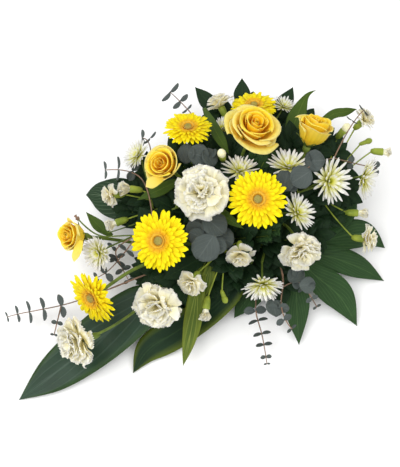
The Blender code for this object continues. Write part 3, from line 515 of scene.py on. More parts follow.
skinLooks = {
    "gerberaEye": {"light": (600, 520, 170), "dark": (420, 390, 100),
                   "scale": 400, "roughness": 0.6, "grain": 0.5},
    "mumEye": {"light": (620, 640, 50), "dark": (240, 300, 20),
               "scale": 500, "roughness": 0.6, "grain": 0.4},
    "stem": {"light": (160, 220, 35), "dark": (70, 110, 18)},
    "calyx": {"light": (300, 360, 45), "dark": (140, 200, 22)},
    "eucalyptusStem": {"light": (300, 180, 120), "dark": (130, 90, 60)},
    "foam": {"light": (20, 60, 22), "dark": (10, 32, 12),
             "scale": 900, "roughness": 0.95, "grain": 0.6},
    "tray": {"light": (12, 45, 20), "dark": (10, 38, 16),
             "scale": 200, "roughness": 0.4, "grain": 0.1},
}
finishes = {}
for make, looks in ((petalMaterial, petalLooks), (leafMaterial, leafLooks),
                    (skinMaterial, skinLooks)):
    for name, look in looks.items():
        finishes[name] = make(name, **look)
print("Materials made:", len(finishes))

# Floor, lights and camera
stage = {
    "floor": 6.0, "floorColour": (980, 980, 980), "world": 0.84,
    # Place, size, power
    "lamps": {"keyLight": ((-1.0, -0.5, 2.1), 1.6, 30), "fillLight": ((1.3, -0.8, 1.7), 1.6, 12)},
}
pickOnly()
bpy.ops.mesh.primitive_plane_add(size=stage["floor"])
floor = bpy.context.object
floor.name = "floor"
floorFinish, _, floorShader, _ = newMaterial("floor", 0.9)
floorShader.inputs["Base Color"].default_value = painted(stage["floorColour"])
floor.data.materials.append(floorFinish)

world = bpy.data.worlds.new("studio")
world.use_nodes = True
world.node_tree.nodes["Background"].inputs[0].default_value = (1, 1, 1, 1)
world.node_tree.nodes["Background"].inputs[1].default_value = stage["world"]
scene.world = world
scene.view_settings.view_transform = "Standard"

for name, (place, size, power) in stage["lamps"].items():
    lamp = bpy.data.lights.new(name, "AREA")
    lamp.size = size
    lamp.energy = power
    holder = bpy.data.objects.new(name, lamp)
    holder.location = place
    holder.rotation_euler = Vector(place).to_track_quat("Z", "Y").to_euler()
    scene.collection.objects.link(holder)

camera = bpy.data.objects.new("camera", bpy.data.cameras.new("camera"))
camera.data.sensor_fit = "VERTICAL"
camera.data.sensor_height = view["sensor"]
camera.data.lens = view["sensor"] * view["distance"] / (view["frameHeight"] * view["pixel"])
camera.location = view["target"] + towardsViewer * view["distance"]
camera.rotation_euler = towardsViewer.to_track_quat("Z", "Y").to_euler()
scene.collection.objects.link(camera)
scene.camera = camera
print("Stage set")

# Gerberas: layers of blunt petals round a golden ring and an olive eye.
# Each layer is a count, radius of the root, height, tilt and length;
# each bloom is its node, x, y, height, lean, toward and size, here and below
gerbera = {
    "spread": 0.090,
    "depth": 0.20,
    "petal": ((0, 0.045, 0), (0.20, 0.062, 0.010), (0.45, 0.078, 0.018), (0.70, 0.088, 0.015),
              (0.86, 0.078, 0.005), (0.95, 0.050, -0.005), (1.0, 0.016, -0.015)),
    "floret": ((0, 0.12, 0), (0.6, 0.16, 0.03), (1, 0.04, 0.1)),
    "layers": ((25, 0.17, 0.06, 0, 0.82), (25, 0.17, 0.09, 3, 0.75), (23, 0.17, 0.12, 7, 0.59),
               (23, 0.17, 0.15, 12, 0.42)),
    "inner": (27, 0.165, 0.17, 19, 0.25),
    "ring": (40, 0.135, 0.19, 34, 0.12),
    "blooms": {
        "gerberaLeft": ("gerbera_left", 158, 241, 165, 20, 185, 1.04),
        "gerberaCentre": ("gerbera_centre", 258, 199, 205, 8, 60, 0.99),
        "gerberaBackLeft": ("gerbera_back_left", 188, 126, 160, 45, 90, 0.85),
        "gerberaBack": ("gerbera_back", 254, 104, 110, 50, 90, 0.84),
        "gerberaTail": ("gerbera_tail", 90, 299, 112, 50, 215, 0.94),
    },
}


def seatOf(flowers, name, tall=1):
    # Where a head's neck is, its axis, and the place of its units
    node, x, y, height, lean, toward, size = flowers["blooms"][name]
    axis = facing(lean, toward)
    scale = size * flowers["spread"] / 2
    neck = onView(x, y, height) - axis * (flowers["depth"] * tall) * scale
    return neck, axis, placed(neck, axis, 0.7 * x) @ Matrix.Scale(scale, 4)


def makeGerberas():
    petal = petalFromRows("gerberaPetal", 2, gerbera["petal"], cup=0.02, thickness=0.008)
    floret = petalFromRows("gerberaFloret", 2, gerbera["floret"], thickness=0.02)
    pickOnly()
    bpy.ops.mesh.primitive_cone_add(vertices=5, radius1=0.012, radius2=0.004, depth=0.06)
    seed = bpy.context.object
    for name, bloom in gerbera["blooms"].items():
        seat = seatOf(gerbera, name)[2]
        rng = random.Random(name)
        parts = []
        for level, ring in enumerate(gerbera["layers"]):
            parts += around(petal, ring[0], rng, *ring[1:], width=0.55 + 0.45 * ring[4],
                            start=0.4 * level, loose=1.4)
        gathered(name, settle(parts, seat), "gerberaPetal", [bloom[0]])
        count, *ring = gerbera["inner"]
        parts = around(petal, count, rng, *ring, width=0.62, loose=1.4)
        gathered(name + "Inner", settle(parts, seat), "gerberaInner", ())
        count, radius, height, tilt, length = gerbera["ring"]
        parts = around(floret, count, rng, radius, height, tilt, length, width=0.30)
        parts += around(floret, count, rng, radius + 0.03, height - 0.02, tilt - 14, length, 0.30)
        gathered(name + "Ring", settle(parts, seat), "gerberaRing", ())
        parts = heaped(seed, 80, 0.135, lambda radius: 0.25 - 1.6 * radius * radius)
        pickOnly()
        bpy.ops.mesh.primitive_uv_sphere_add(segments=16, ring_count=8, radius=0.15)
        dome = bpy.context.object
        parts.append((dome, Matrix.Translation((0, 0, 0.16)) @ Matrix.Diagonal((1, 1, 0.5, 1))))
        gathered(name + "Eye", settle(parts, seat), "gerberaEye", ())
        discard(dome)
    discard(petal, floret, seed)


makeGerberas()
print("Gerberas made")

# Chrysanthemums: narrow pointed petals with a lime root and a green eye
mum = {
    "spread": 0.078,
    "depth": 0.16,
    "petal": ((0, 0.036, 0), (0.25, 0.058, 0), (0.60, 0.069, 0.01), (0.85, 0.056, 0.03),
              (0.95, 0.034, 0.045), (1.0, 0.010, 0.055)),
    "layers": ((17, 0.08, 0.05, 12, 0.92), (16, 0.08, 0.08, 20, 0.86), (12, 0.07, 0.11, 33, 0.68),
               (9, 0.06, 0.13, 52, 0.40)),
    # Heads with more petals than the rest
    "fuller": {"mumLeft": 1.5, "mumBackLeft": 1.3, "mumFront": 1.2},
    "blooms": {
        "mumRight": ("mum_right", 330, 181, 140, 35, 350, 0.98),
        "mumBackRight": ("mum_back_right", 289, 166, 150, 46, 85, 0.90),
        "mumFarRight": ("mum_far_right", 365, 178, 110, 70, 345, 0.94),
        "mumCentre": ("mum_centre", 240, 170, 140, 46, 85, 0.78),
        "mumCentreRight": ("mum_centre_right", 298, 212, 145, 44, 30, 0.80),
        "mumFront": ("mum_front", 263, 286, 85, 50, 275, 0.84),
        "mumLeft": ("mum_left", 98, 253, 85, 40, 200, 0.74),
        "mumBackLeft": ("mum_back_left", 137, 155, 128, 50, 150, 0.66),
        "mumBackLow": ("mum_spray_back", 222, 128, 100, 45, 110, 0.60),
        "mumBackHigh": ("mum_spray_back", 284, 106, 86, 50, 70, 0.56),
    },
}


def makeMums():
    petal = petalFromRows("mumPetal", 2, mum["petal"], cup=0.03, thickness=0.010)
    pickOnly()
    bpy.ops.mesh.primitive_uv_sphere_add(segments=8, ring_count=5, radius=0.028)
    grain = bpy.context.object
    for name, bloom in mum["blooms"].items():
        seat = seatOf(mum, name)[2]
        rng = random.Random(name)
        parts = []
        fuller = mum["fuller"].get(name, 1)
        for level, ring in enumerate(mum["layers"]):
            parts += around(petal, round(ring[0] * fuller), rng, *ring[1:], width=0.95,
                            start=0.5 * level, loose=1.5)
        gathered(name, settle(parts, seat), "mumPetal", [bloom[0]])
        parts = heaped(grain, 26, 0.14, lambda radius: 0.17 - radius)
        gathered(name + "Eye", settle(parts, seat), "mumEye", ())
    discard(petal, grain)


makeMums()
print("Chrysanthemums made")

# Carnations: frilled fan-shaped petals in a dome. A stray petal stands out of its head:
# x, y and height of its root, lean, toward, length and width
carnation = {
    "spread": 0.080,
    "depth": 0.62,
    "petal": ((0, 0.05, 0), (0.3, 0.18, 0.03), (0.58, 0.36, 0.05), (0.80, 0.47, 0.03),
              (0.93, 0.46, -0.02), (1.0, 0.34, -0.06)),
    # Cup and frill of each of the petals that are drawn from
    "shapes": ((0.14, 0.036), (-0.12, 0.030), (0.05, 0.045)),
    "layers": ((7, 0.10, 0.06, 14, 0.84), (7, 0.10, 0.10, 27, 0.84), (7, 0.09, 0.14, 40, 0.82),
               (6, 0.08, 0.18, 52, 0.80), (5, 0.07, 0.20, 63, 0.78), (4, 0.05, 0.22, 74, 0.75),
               (3, 0.02, 0.22, 84, 0.72)),
    "blooms": {
        "carnationCentre": ("carnation_centre", 201, 190, 205, 9, 104, 1.03),
        "carnationFront": ("carnation_front", 156, 310, 125, 30, 255, 0.94),
        "carnationTail": ("carnation_tail", 71, 344, 92, 56, 197, 0.98),
        "carnationRight": ("carnation_right", 302, 256, 132, 41, 285, 0.84),
    },
    "stray": {
        "carnationFront": ((148, 298, 134, 72, 94, 24, 15), (163, 304, 136, 62, 75, 26, 24),
                           (166, 306, 135, 58, 35, 24, 24), (167, 311, 131, 60, 350, 22, 22)),
        "carnationCentre": ((207, 184, 205, 66, 72, 28, 26), (211, 186, 205, 62, 42, 28, 28),
                            (212, 191, 206, 62, 8, 27, 28), (211, 196, 205, 64, 325, 28, 30),
                            (207, 199, 203, 68, 288, 28, 26), (209, 187, 207, 40, 60, 22, 22),
                            (211, 192, 207, 36, 0, 22, 22), (209, 196, 206, 42, 310, 22, 22)),
    },
}


def fanned(petals, layers, rng, start, loose):
    # Rings of petals, each taken by chance from the petals
    parts = []
    for level, ring in enumerate(layers):
        rows = around(petals[0], ring[0], rng, *ring[1:], start=start * level, loose=loose)
        parts += [(rng.choice(petals), matrix) for source, matrix in rows]
    return parts


def makeCarnations():
    petals = [petalFromRows("carnationPetal", 12, carnation["petal"], cup, frill, 0.009)
              for cup, frill in carnation["shapes"]]
    for name, bloom in carnation["blooms"].items():
        seat = seatOf(carnation, name)[2]
        rng = random.Random(name)
        parts = settle(fanned(petals, carnation["layers"], rng, 0.37, 2.2), seat)
        for x, y, height, lean, toward, long, broad in carnation["stray"].get(name, ()):
            length = facing(lean, toward)
            turn = lying(length.cross(towardsViewer).normalized(), length)
            turn = turn @ Matrix.Rotation(rng.uniform(-0.3, 0.3), 4, "Y")
            stand = Matrix.Translation(onView(x, y, height)) @ turn
            stand = stand @ Matrix.Diagonal((broad / 1000, long / 1000, long / 1000, 1))
            parts.append(copyOf(rng.choice(petals), stand))
        head = gathered(name, parts, "carnationPetal", [bloom[0]])
        ruffle(head, 0.012, 0.006)
    return petals


carnationPetals = makeCarnations()
print("Carnations made")

# Roses: wrapped petals from a tight heart to wide pale ones. A layer is a count, the span
# in degrees, radii and heights from the root to the rim, and whether it is pale. Half-open
# heads stand taller, by factors on width and height; turned brings a loose petal to its side
rose = {
    "spread": 0.080,
    "depth": 0.84,
    "layers": (
        (2, 115, (0.02, 0.08, 0.09, 0.08), (0.30, 0.62, 0.86, 0.95), False),
        (3, 80, (0.05, 0.17, 0.21, 0.20), (0.22, 0.56, 0.88, 1.00), False),
        (3, 78, (0.09, 0.30, 0.37, 0.39), (0.16, 0.50, 0.86, 1.03), False),
        (4, 66, (0.13, 0.44, 0.54, 0.59), (0.10, 0.42, 0.80, 0.99), False),
        (4, 64, (0.15, 0.54, 0.70, 0.78), (0.06, 0.31, 0.64, 0.82), True),
        (5, 52, (0.15, 0.52, 0.80, 0.93), (0.02, 0.16, 0.36, 0.49), True),
    ),
    "cupped": {"roseRight": (0.90, 1.45), "roseLeft": (0.95, 1.10), "roseTail": (0.90, 1.30)},
    "blooms": {
        "roseBack": ("rose_back", 257, 122, 200, 40, 65, 1.02),
        "roseRight": ("rose_right", 317, 121, 160, 64, 70, 0.92),
        "roseLeft": ("rose_left", 160, 163, 180, 28, 150, 0.90),
        "roseTail": ("rose_tail", 66, 235, 110, 50, 175, 0.78),
    },
    "turned": {"roseLeft": 4.3},
    # How many of its layers each bloom has opened
    "opened": {"roseBack": 6, "roseRight": 5, "roseLeft": 5, "roseTail": 5},
}


def alongRun(values, t):
    # A smooth line through a list of numbers or vectors
    last = len(values) - 1
    k = min(int(t * last), last - 1)
    part = t * last - k
    a = values[max(k - 1, 0)]
    b = values[k]
    c = values[k + 1]
    d = values[min(k + 2, last)]
    square = part * part
    cube = square * part
    flat = b * (2 * cube - 3 * square + 1) + c * (3 * square - 2 * cube)
    first = (c - a) * 0.5
    second = (d - b) * 0.5
    return flat + first * (cube - 2 * square + part) + second * (cube - square)


def wrappedPetal(span, radii, heights, rng):
    ripple = rng.uniform(0, 6)
    curl = rng.uniform(0.04, 0.15) * radii[-1]
    dent = rng.uniform(-0.5, 0.5)

    def shape(u, t):
        radius = alongRun(radii, t)
        height = alongRun(heights, t)
        arch = math.sqrt(max(0.0, 1 - (0.92 * u) ** 2 * t * t))
        height = heights[0] + (height - heights[0]) * (0.72 + 0.28 * arch)
        radius += 0.10 * radii[-1] * u * min(1, 2 * t)
        rim = max(0.0, (t - 0.72) / 0.28)
        radius += curl * rim * rim * (1 + 0.7 * math.sin(3 * u + ripple))
        height -= 0.45 * curl * rim ** 3 + 0.05 * rim * math.exp(-18 * (u - dent) ** 2)
        angle = u * math.radians(span) * min(1, 0.45 + 1.3 * t)
        return Vector((radius * math.cos(angle), radius * math.sin(angle), height))

    return sheetFrom("rosePetal", 14, 12, shape, 0.010)


def makeRoses():
    for name, bloom in rose["blooms"].items():
        wide, tall = rose["cupped"].get(name, (1, 1))
        seat = seatOf(rose, name, tall)[2] @ Matrix.Diagonal((wide, wide, tall, 1))
        rng = random.Random(name)
        inner = []
        outer = []
        turn = rose["turned"].get(name, 0)
        for count, span, radii, heights, pale in rose["layers"][:rose["opened"][name]]:
            for k in range(count):
                lower = rng.uniform(0, 0.10)
                rise = [h * (1 - lower) for h in heights]
                petal = wrappedPetal(span * rng.uniform(0.85, 1.2), radii, rise, rng)
                spin = turn + 2 * math.pi * (k + rng.uniform(-0.16, 0.16)) / count
                size = 1 + rng.uniform(-0.05, 0.05)
                petal.data.transform(seat @ Matrix.Rotation(spin, 4, "Z") @ Matrix.Scale(size, 4))
                (outer if pale else inner).append(petal)
            turn += 0.75
        gathered(name, inner, "rosePetal", [bloom[0]])
        gathered(name + "Outer", outer, "rosePale", ())


makeRoses()
print("Roses made")

# Large leaves: their node, finish, and runs of (x, y, height, width) from base to tip
leaves = {
    "leafTail": ("leaf_tail", "tailLeaf", (
        ((164, 287, 34, 14), (146, 302, 36, 62), (118, 324, 30, 78), (84, 351, 22, 74),
         (50, 377, 12, 52), (19, 400, 3.5, 0)),)),
    "leafMargined": ("leaf_margined", "marginedLeaf", (
        ((247, 268, 50, 12), (230, 291, 40, 40), (206, 313, 24, 46), (174, 333, 14, 52),
         (148, 350, 8, 40), (133, 373, 3.5, 0)),)),
    "leafBlades": ("leaf_blades", "bladeLeaf", (
        ((203, 266, 82, 12), (197, 292, 78, 24), (193, 320, 56, 28), (188, 345, 38, 18),
         (183, 366, 30, 0)),
        ((212, 260, 86, 10), (207, 281, 78, 20), (201, 303, 58, 0)))),
    "leafBladeBehind": (None, "darkLeaf", (
        ((206, 256, 86, 12), (190, 264, 94, 30), (176, 272, 100, 26), (163, 279, 100, 0)),)),
    "leavesInner": (None, "freshLeaf", (
        ((204, 108, 104, 6), (213, 126, 124, 17), (222, 142, 132, 15), (229, 154, 126, 0)),
        ((212, 204, 130, 6), (226, 217, 136, 17), (244, 229, 124, 0)))),
    "leafFatsia": ("leaf_fatsia", "lobedLeaf", (
        ((294, 256, 46, 14), (318, 232, 50, 40), (344, 211, 46, 40), (356, 195, 40, 0)),
        ((294, 256, 46, 14), (328, 240, 44, 44), (362, 234, 30, 44), (385, 248, 10, 0)),
        ((294, 256, 46, 14), (325, 256, 40, 40), (358, 267, 24, 36), (384, 281, 8, 0)),
        ((294, 256, 46, 14), (316, 276, 38, 42), (340, 297, 24, 46), (357, 326, 8, 0)),
        ((294, 256, 46, 14), (296, 284, 36, 38), (297, 313, 22, 36), (299, 345, 8, 0)),
        ((294, 256, 46, 14), (266, 274, 34, 34), (248, 298, 18, 38), (234, 318, 8, 0)))),
    "leafBroadLeft": ("leaf_broad_left", "veinedLeaf", (
        ((166, 214, 52, 12), (146, 206, 56, 54), (118, 199, 52, 68), (98, 195, 44, 42),
         (86, 195, 40, 0)),)),
    "leavesBack": ("leaves_back", "darkLeaf", (
        ((241, 112, 66, 8), (242, 94, 74, 27), (242, 78, 80, 0)),
        ((222, 120, 66, 8), (207, 101, 74, 26), (195, 87, 80, 0)),
        ((270, 118, 64, 8), (285, 102, 70, 26), (293, 87, 76, 0)))),
    "leavesRight": ("leaves_right", "freshLeaf", (
        ((286, 144, 90, 8), (296, 119, 100, 28), (306, 97, 108, 9), (316, 90, 112, 0)),
        ((300, 146, 86, 6), (329, 117, 96, 14), (345, 112, 96, 14), (357, 109, 94, 0)))),
    "leavesLeft": ("leaves_left", "freshLeaf", (
        ((180, 180, 112, 6), (159, 190, 114, 21), (137, 200, 108, 0)),
        ((112, 236, 58, 6), (98, 225, 62, 18), (86, 212, 62, 0)))),
}
# Where the leaves of one tuft meet
crowns = {
    "leafBlades": (208, 255, 81), "leafBladeBehind": (208, 255, 81),
    "leavesInner": (214, 190, 96), "leafFatsia": (290, 250, 47), "leavesBack": (238, 140, 62),
    "leavesRight": (287, 158, 82), "leavesLeft": (176, 208, 92),
}

# The foam brick that every stem stands in
brick = {"turn": math.radians(38), "length": 0.220, "width": 0.096, "top": 0.0743,
         "heart": 0.036, "fan": 0.42, "fanLimit": 0.075, "lowest": 0.030, "deep": 0.026,
         "straight": 0.006}


def foamEntry(target, lift):
    # Where a stem bound for the target leaves the foam, and in which direction
    local = Matrix.Rotation(-brick["turn"], 3, "Z") @ target
    along = max(-brick["fanLimit"], min(brick["fanLimit"], brick["fan"] * local.x))
    heart = Vector((along, 0, brick["heart"]))
    ray = local - heart
    shares = []
    for axis, half in ((0, brick["length"] / 2), (1, brick["width"] / 2)):
        if abs(ray[axis]) > 0.000001:
            shares.append((math.copysign(half, ray[axis]) - heart[axis]) / ray[axis])
    if ray.z > 0.000001:
        shares.append((brick["top"] - heart.z) / ray.z)
    leave = heart + ray * min(share for share in shares if share > 0)
    leave.z = max(leave.z + lift, brick["lowest"])
    turn = Matrix.Rotation(brick["turn"], 3, "Z")
    return turn @ leave, turn @ ray.normalized()


def stemRoute(end, arrive, lift=0.0, steps=6):
    start, way = foamEntry(end - arrive * 0.35 * end.length, lift)
    outer = start + way * brick["straight"]
    reach = (end - outer).length
    first = outer + way * reach * 0.30
    last = end - arrive * reach * 0.36
    points = [start - way * brick["deep"], start]
    for k in range(steps + 1):
        t = k / steps
        s = 1 - t
        points.append(outer * s ** 3 + first * 3 * s * s * t + last * 3 * s * t * t + end * t ** 3)
    return points


def leafAlong(run, fold=0.12, wave=0.06, spin=0.0):
    spots = [onView(*spot[:3]) for spot in run]
    widths = [spot[3] / 1000 for spot in run]

    def shape(u, t):
        middle = alongRun(spots, t)
        ahead = alongRun(spots, min(1, t + 0.02)) - alongRun(spots, max(0, t - 0.02))
        across = ahead.normalized().cross(leafUp).normalized()
        half = max(0.0003, alongRun(widths, t)) / 2 if t < 1 else 0.0002
        bend = fold * half * abs(u) + wave * half * u * u * math.sin(9 * t + 2 * u + spin)
        return middle + across * half * u + leafUp * bend

    return sheetFrom("blade", 8, 10 * (len(run) - 1), shape, 0.0006)


def firstWay(run):
    # The first point of a run, and the direction to the second
    first = onView(*run[0][:3])
    return first, (onView(*run[1][:3]) - first).normalized()


def makeLeaves():
    for name, (node, finish, runs) in leaves.items():
        blades = [leafAlong(run, spin=1.7 * k) for k, run in enumerate(runs)]
        gathered(name, blades, finish, [node] if node else ())
        first, toward = firstWay(runs[0])
        if name in crowns:
            crown = onView(*crowns[name])
            stalks = [twigAlong(stemRoute(crown, toward), 0.0022)]
            for run in runs[:1] if name == "leafFatsia" else runs:
                base, ahead = firstWay(run)
                points = [crown, crown.lerp(base, 0.5), base + ahead * 0.008]
                stalks.append(twigAlong(points, [0.0017, 0.0015, 0.0009]))
        else:
            stalks = [twigAlong(stemRoute(first + toward * 0.006, toward), 0.0024)]
        gathered(name + "Stem", stalks, "stem", ())


makeLeaves()
print("Leaves made")

# Dark foliage between the flowers: leafy shoots from the foam to (x, y, height)
foliage = {
    "leaf": ((0, 0.03, 0), (0.14, 0.17, 0.01), (0.38, 0.29, 0.03), (0.64, 0.27, 0.02),
             (0.85, 0.14, -0.01), (1.0, 0.008, -0.05)),
    "size": (0.026, 0.042),
    "fineSize": (0.009, 0.015),
    "ends": {
        "foliageFine": ((254, 158, 134), (264, 162, 136), (270, 154, 128), (247, 164, 132),
                        (276, 230, 128), (268, 236, 122)),
        "foliageBack": ((206, 134, 70), (226, 124, 68), (249, 113, 70), (272, 118, 72),
                        (300, 128, 80), (320, 142, 82), (334, 154, 80), (232, 148, 100),
                        (262, 146, 105), (292, 146, 105)),
        "foliageRight": ((336, 172, 70), (340, 192, 60), (330, 214, 66), (314, 236, 60),
                         (288, 240, 82), (318, 190, 90), (300, 172, 100), (276, 184, 120)),
        "foliageFront": ((282, 250, 66), (252, 276, 50), (282, 280, 46), (236, 280, 56),
                         (206, 282, 52), (184, 274, 60), (160, 272, 56), (232, 262, 80),
                         (150, 276, 44)),
        "foliageLeft": ((150, 226, 80), (132, 212, 72), (136, 192, 88), (150, 176, 85),
                        (178, 156, 100), (206, 152, 105), (172, 208, 90), (196, 214, 118)),
        "foliageTop": ((232, 214, 118), (238, 190, 118), (268, 226, 112), (246, 238, 110),
                       (214, 196, 125), (222, 174, 115)),
    },
}


def makeFoliage():
    blade = petalFromRows("foliageLeaf", 2, foliage["leaf"], cup=0.05, thickness=0.014)
    for name, ends in foliage["ends"].items():
        rng = random.Random(name)
        blades = []
        stems = []
        fine = name == "foliageFine"
        sizes = foliage["fineSize" if fine else "size"]
        for spot in ends:
            end = onView(*spot)
            arrive = (end - Vector((0, 0, brick["heart"]))).normalized()
            route = stemRoute(end, arrive, steps=34 if fine else 10)
            count = len(route)
            stems.append(twigAlong(route, [0.0014 - 0.0007 * k / count for k in range(count)]))
            for k in range(count // 2 if fine else 2, count):
                way = (route[k] - route[k - 1]).normalized()
                across = way.cross(leafUp).normalized()
                for side in (1, -1) if k < count - 1 else (1, -1, 0):
                    length = way * rng.uniform(0.6, 1.0) + across * side * rng.uniform(0.7, 1.1)
                    length = (length + leafUp * rng.uniform(-0.15, 0.30)).normalized()
                    face = (leafUp + across * rng.uniform(-0.5, 0.5)).normalized()
                    turn = lying(length.cross(face).normalized(), length)
                    size = rng.uniform(*sizes)
                    blades.append((blade, Matrix.Translation(route[k]) @ turn
                                   @ Matrix.Scale(size, 4)))
        finish = "lobedLeaf" if fine else "darkLeaf"
        gathered(name, settle(blades, here), finish, ())
        gathered(name + "Stem", stems, "stem", ())
    discard(blade)


makeFoliage()
print("Foliage made")

# Eucalyptus: round leaves in pairs along thin pinkish stems, with the leaf's width where
# there is a pair: (x, y, height, width)
shoots = {
    "eucalyptusTail": ("eucalyptus_tail", (
        ((112, 288, 52, 0), (84, 299, 48, 0), (61, 306, 46, 36), (43, 309, 42, 36),
         (29, 312, 38, 34), (17, 314, 34, 26), (7, 317, 30, 16)),
        ((61, 306, 46, 0), (57, 323, 40, 18), (54, 335, 36, 12)))),
    "eucalyptusFront": ("eucalyptus_front", (
        ((256, 297, 46, 0), (255, 311, 44, 34), (258, 321, 42, 30), (262, 334, 38, 27),
         (264, 345, 34, 25), (266, 357, 31, 17), (267, 364, 29, 10)),)),
    "eucalyptusFrontRight": ("eucalyptus_front_right", (
        ((283, 287, 64, 0), (278, 308, 66, 34), (284, 320, 70, 26), (292, 329, 67, 18)),
        ((283, 287, 64, 0), (297, 278, 72, 34), (306, 287, 74, 28), (312, 299, 70, 20),
         (317, 307, 67, 14)))),
    "eucalyptusLeft": ("eucalyptus_left", (
        ((152, 213, 110, 0), (148, 181, 120, 0), (133, 171, 115, 32), (118, 169, 109, 38),
         (105, 170, 105, 27)),
        ((148, 181, 119, 0), (154, 150, 120, 0), (150, 138, 120, 26), (142, 138, 120, 26)),
        ((152, 213, 109, 0), (138, 235, 86, 0), (126, 251, 70, 30), (117, 262, 64, 34),
         (106, 274, 60, 30), (96, 278, 58, 18)),
        ((138, 235, 86, 0), (112, 247, 72, 18), (117, 258, 66, 26), (123, 270, 60, 26),
         (129, 281, 52, 18)))),
    "eucalyptusTop": ("eucalyptus_top", (
        ((205, 135, 80, 0), (194, 116, 84, 0), (187, 109, 88, 20), (180, 101, 92, 32),
         (170, 92, 96, 38)),)),
    "eucalyptusCentre": ("eucalyptus_centre", (
        ((215, 222, 100, 0), (211, 233, 128, 74), (208, 240, 146, 60)),
        ((215, 222, 100, 0), (216, 175, 130, 0), (208, 158, 142, 36), (197, 155, 146, 36),
         (187, 153, 144, 30)))),
    "eucalyptusRight": ("eucalyptus_right", (
        ((282, 192, 150, 0), (288, 181, 172, 38), (301, 176, 180, 36), (312, 162, 177, 32),
         (334, 158, 140, 0)),
        ((334, 158, 140, 0), (351, 163, 116, 22), (376, 168, 84, 22)),
        ((334, 158, 140, 0), (352, 120, 120, 20), (364, 110, 114, 22)))),
}
discShape = ((0, 0.07, 0), (0.12, 0.30, 0.01), (0.34, 0.46, 0.03), (0.6, 0.50, 0.03),
             (0.82, 0.38, 0.01), (0.95, 0.20, 0), (1.0, 0.04, -0.01))
# Single leaves seen full on: x, y, height, width, lean, toward
discs = {
    "eucalyptusCentre": ((196, 231, 140, 34, 35, 190), (214, 225, 146, 40, 20, 60),
                         (206, 247, 150, 44, 15, 260), (187, 154, 150, 30, 25, 180),
                         (198, 155, 152, 34, 15, 10), (209, 158, 146, 30, 35, 20)),
    "eucalyptusRight": ((286, 181, 180, 32, 30, 200), (301, 177, 190, 36, 12, 20),
                        (315, 161, 180, 34, 30, 180)),
    "eucalyptusFrontRight": ((296, 276, 72, 28, 30, 100), (307, 285, 80, 26, 20, 0),
                             (274, 308, 64, 30, 35, 60)),
}


def makeEucalyptus():
    disc = petalFromRows("eucalyptusDisc", 6, discShape, cup=0.10, thickness=0.03)
    for name, (node, runs) in shoots.items():
        rng = random.Random(name)
        blades = []
        stems = []
        for run in runs:
            points = [onView(*spot[:3]) for spot in run]
            count = len(points)
            stems.append(twigAlong(points, [0.0011 - 0.0005 * k / count for k in range(count)]))
            for k, spot in enumerate(run):
                if spot[3] == 0:
                    continue
                way = (points[min(k + 1, count - 1)] - points[k - 1]).normalized()
                across = way.cross(towardsViewer).normalized()
                depth = way.cross(across)
                forward = rng.uniform(0.0, 0.14)
                tip = rng.uniform(0.50, 0.85) * rng.choice((1, 1, -1))
                for side in (1, -1):
                    length = (across * side + way * forward).normalized()
                    wide = (depth * side + way * tip * side)
                    wide = (wide - length * wide.dot(length)).normalized()
                    blades.append((disc, Matrix.Translation(points[k]) @ lying(wide, length)
                                   @ Matrix.Scale(spot[3] / 2000, 4)))
        for x, y, height, size, lean, side in discs.get(name, ()):
            seat = placed(onView(x, y, height), facing(lean, side), rng.uniform(0, 6))
            seat = seat @ Matrix.Scale(size / 1000, 4) @ Matrix.Translation((0, -0.5, 0))
            blades.append((disc, seat))
        start, toward = firstWay(runs[0])
        stems.append(twigAlong(stemRoute(start + toward * 0.003, toward), 0.0014))
        gathered(name, settle(blades, here), "eucalyptusLeaf", [node])
        gathered(name + "Stem", stems, "eucalyptusStem", ())
    discard(disc)


makeEucalyptus()
print("Eucalyptus made")

# Spray carnations: their node, the fork, and at its ends
# (x, y, height, lean, toward, size, openness): 1 is open, 0.5 half open, 0 a bud
sprays = {
    "sprayLeft": ("spray_carnation_left", (168, 205, 86), (
        (113, 195, 112, 66, 185, 17.5, 1), (130, 189, 116, 80, 175, 20, 0.5),
        (116, 223, 90, 78, 200, 17, 0.5))),
    "sprayRight": ("spray_carnation_right", (322, 197, 77), (
        (383, 152, 90, 84, 355, 14, 0.5), (358, 213, 78, 84, 358, 16, 0.5),
        (364, 239, 70, 74, 352, 21, 1), (363, 121, 94, 72, 42, 19, 1),
        (344, 130, 100, 60, 50, 13, 0), (366, 142, 92, 84, 20, 10, 0))),
    "sprayFront": ("spray_carnation_front", (227, 248, 92), (
        (240, 252, 118, 55, 270, 22, 1), (193, 280, 114, 48, 235, 21, 1),
        (206, 309, 72, 76, 262, 18, 0.5), (224, 297, 70, 80, 290, 10, 0))),
    "sprayBack": ("spray_carnation_back", (221, 166, 88), (
        (221, 107, 94, 88, 116, 23, 1), (222, 155, 156, 22, 105, 14, 0))),
}
florets = {
    "calyx": ((0, 0), (0.0030, 0.0005), (0.0042, -0.0005), (0.0040, -0.005), (0.0036, -0.010),
              (0.0022, -0.0135), (0, -0.014)),
    "bud": ((0, 0.80), (0.17, 0.75), (0.32, 0.58), (0.38, 0.33), (0.33, 0.08), (0.22, -0.05),
            (0, -0.1)),
    "open": ((6, 0, 0, 14, 0.95), (6, 0, 0.05, 34, 0.9), (5, 0, 0.1, 54, 0.8),
             (4, 0, 0.1, 72, 0.75)),
    "half": ((7, 0.22, 0, 74, 0.8), (6, 0.15, 0, 82, 0.9), (5, 0.08, 0, 88, 1.0)),
}


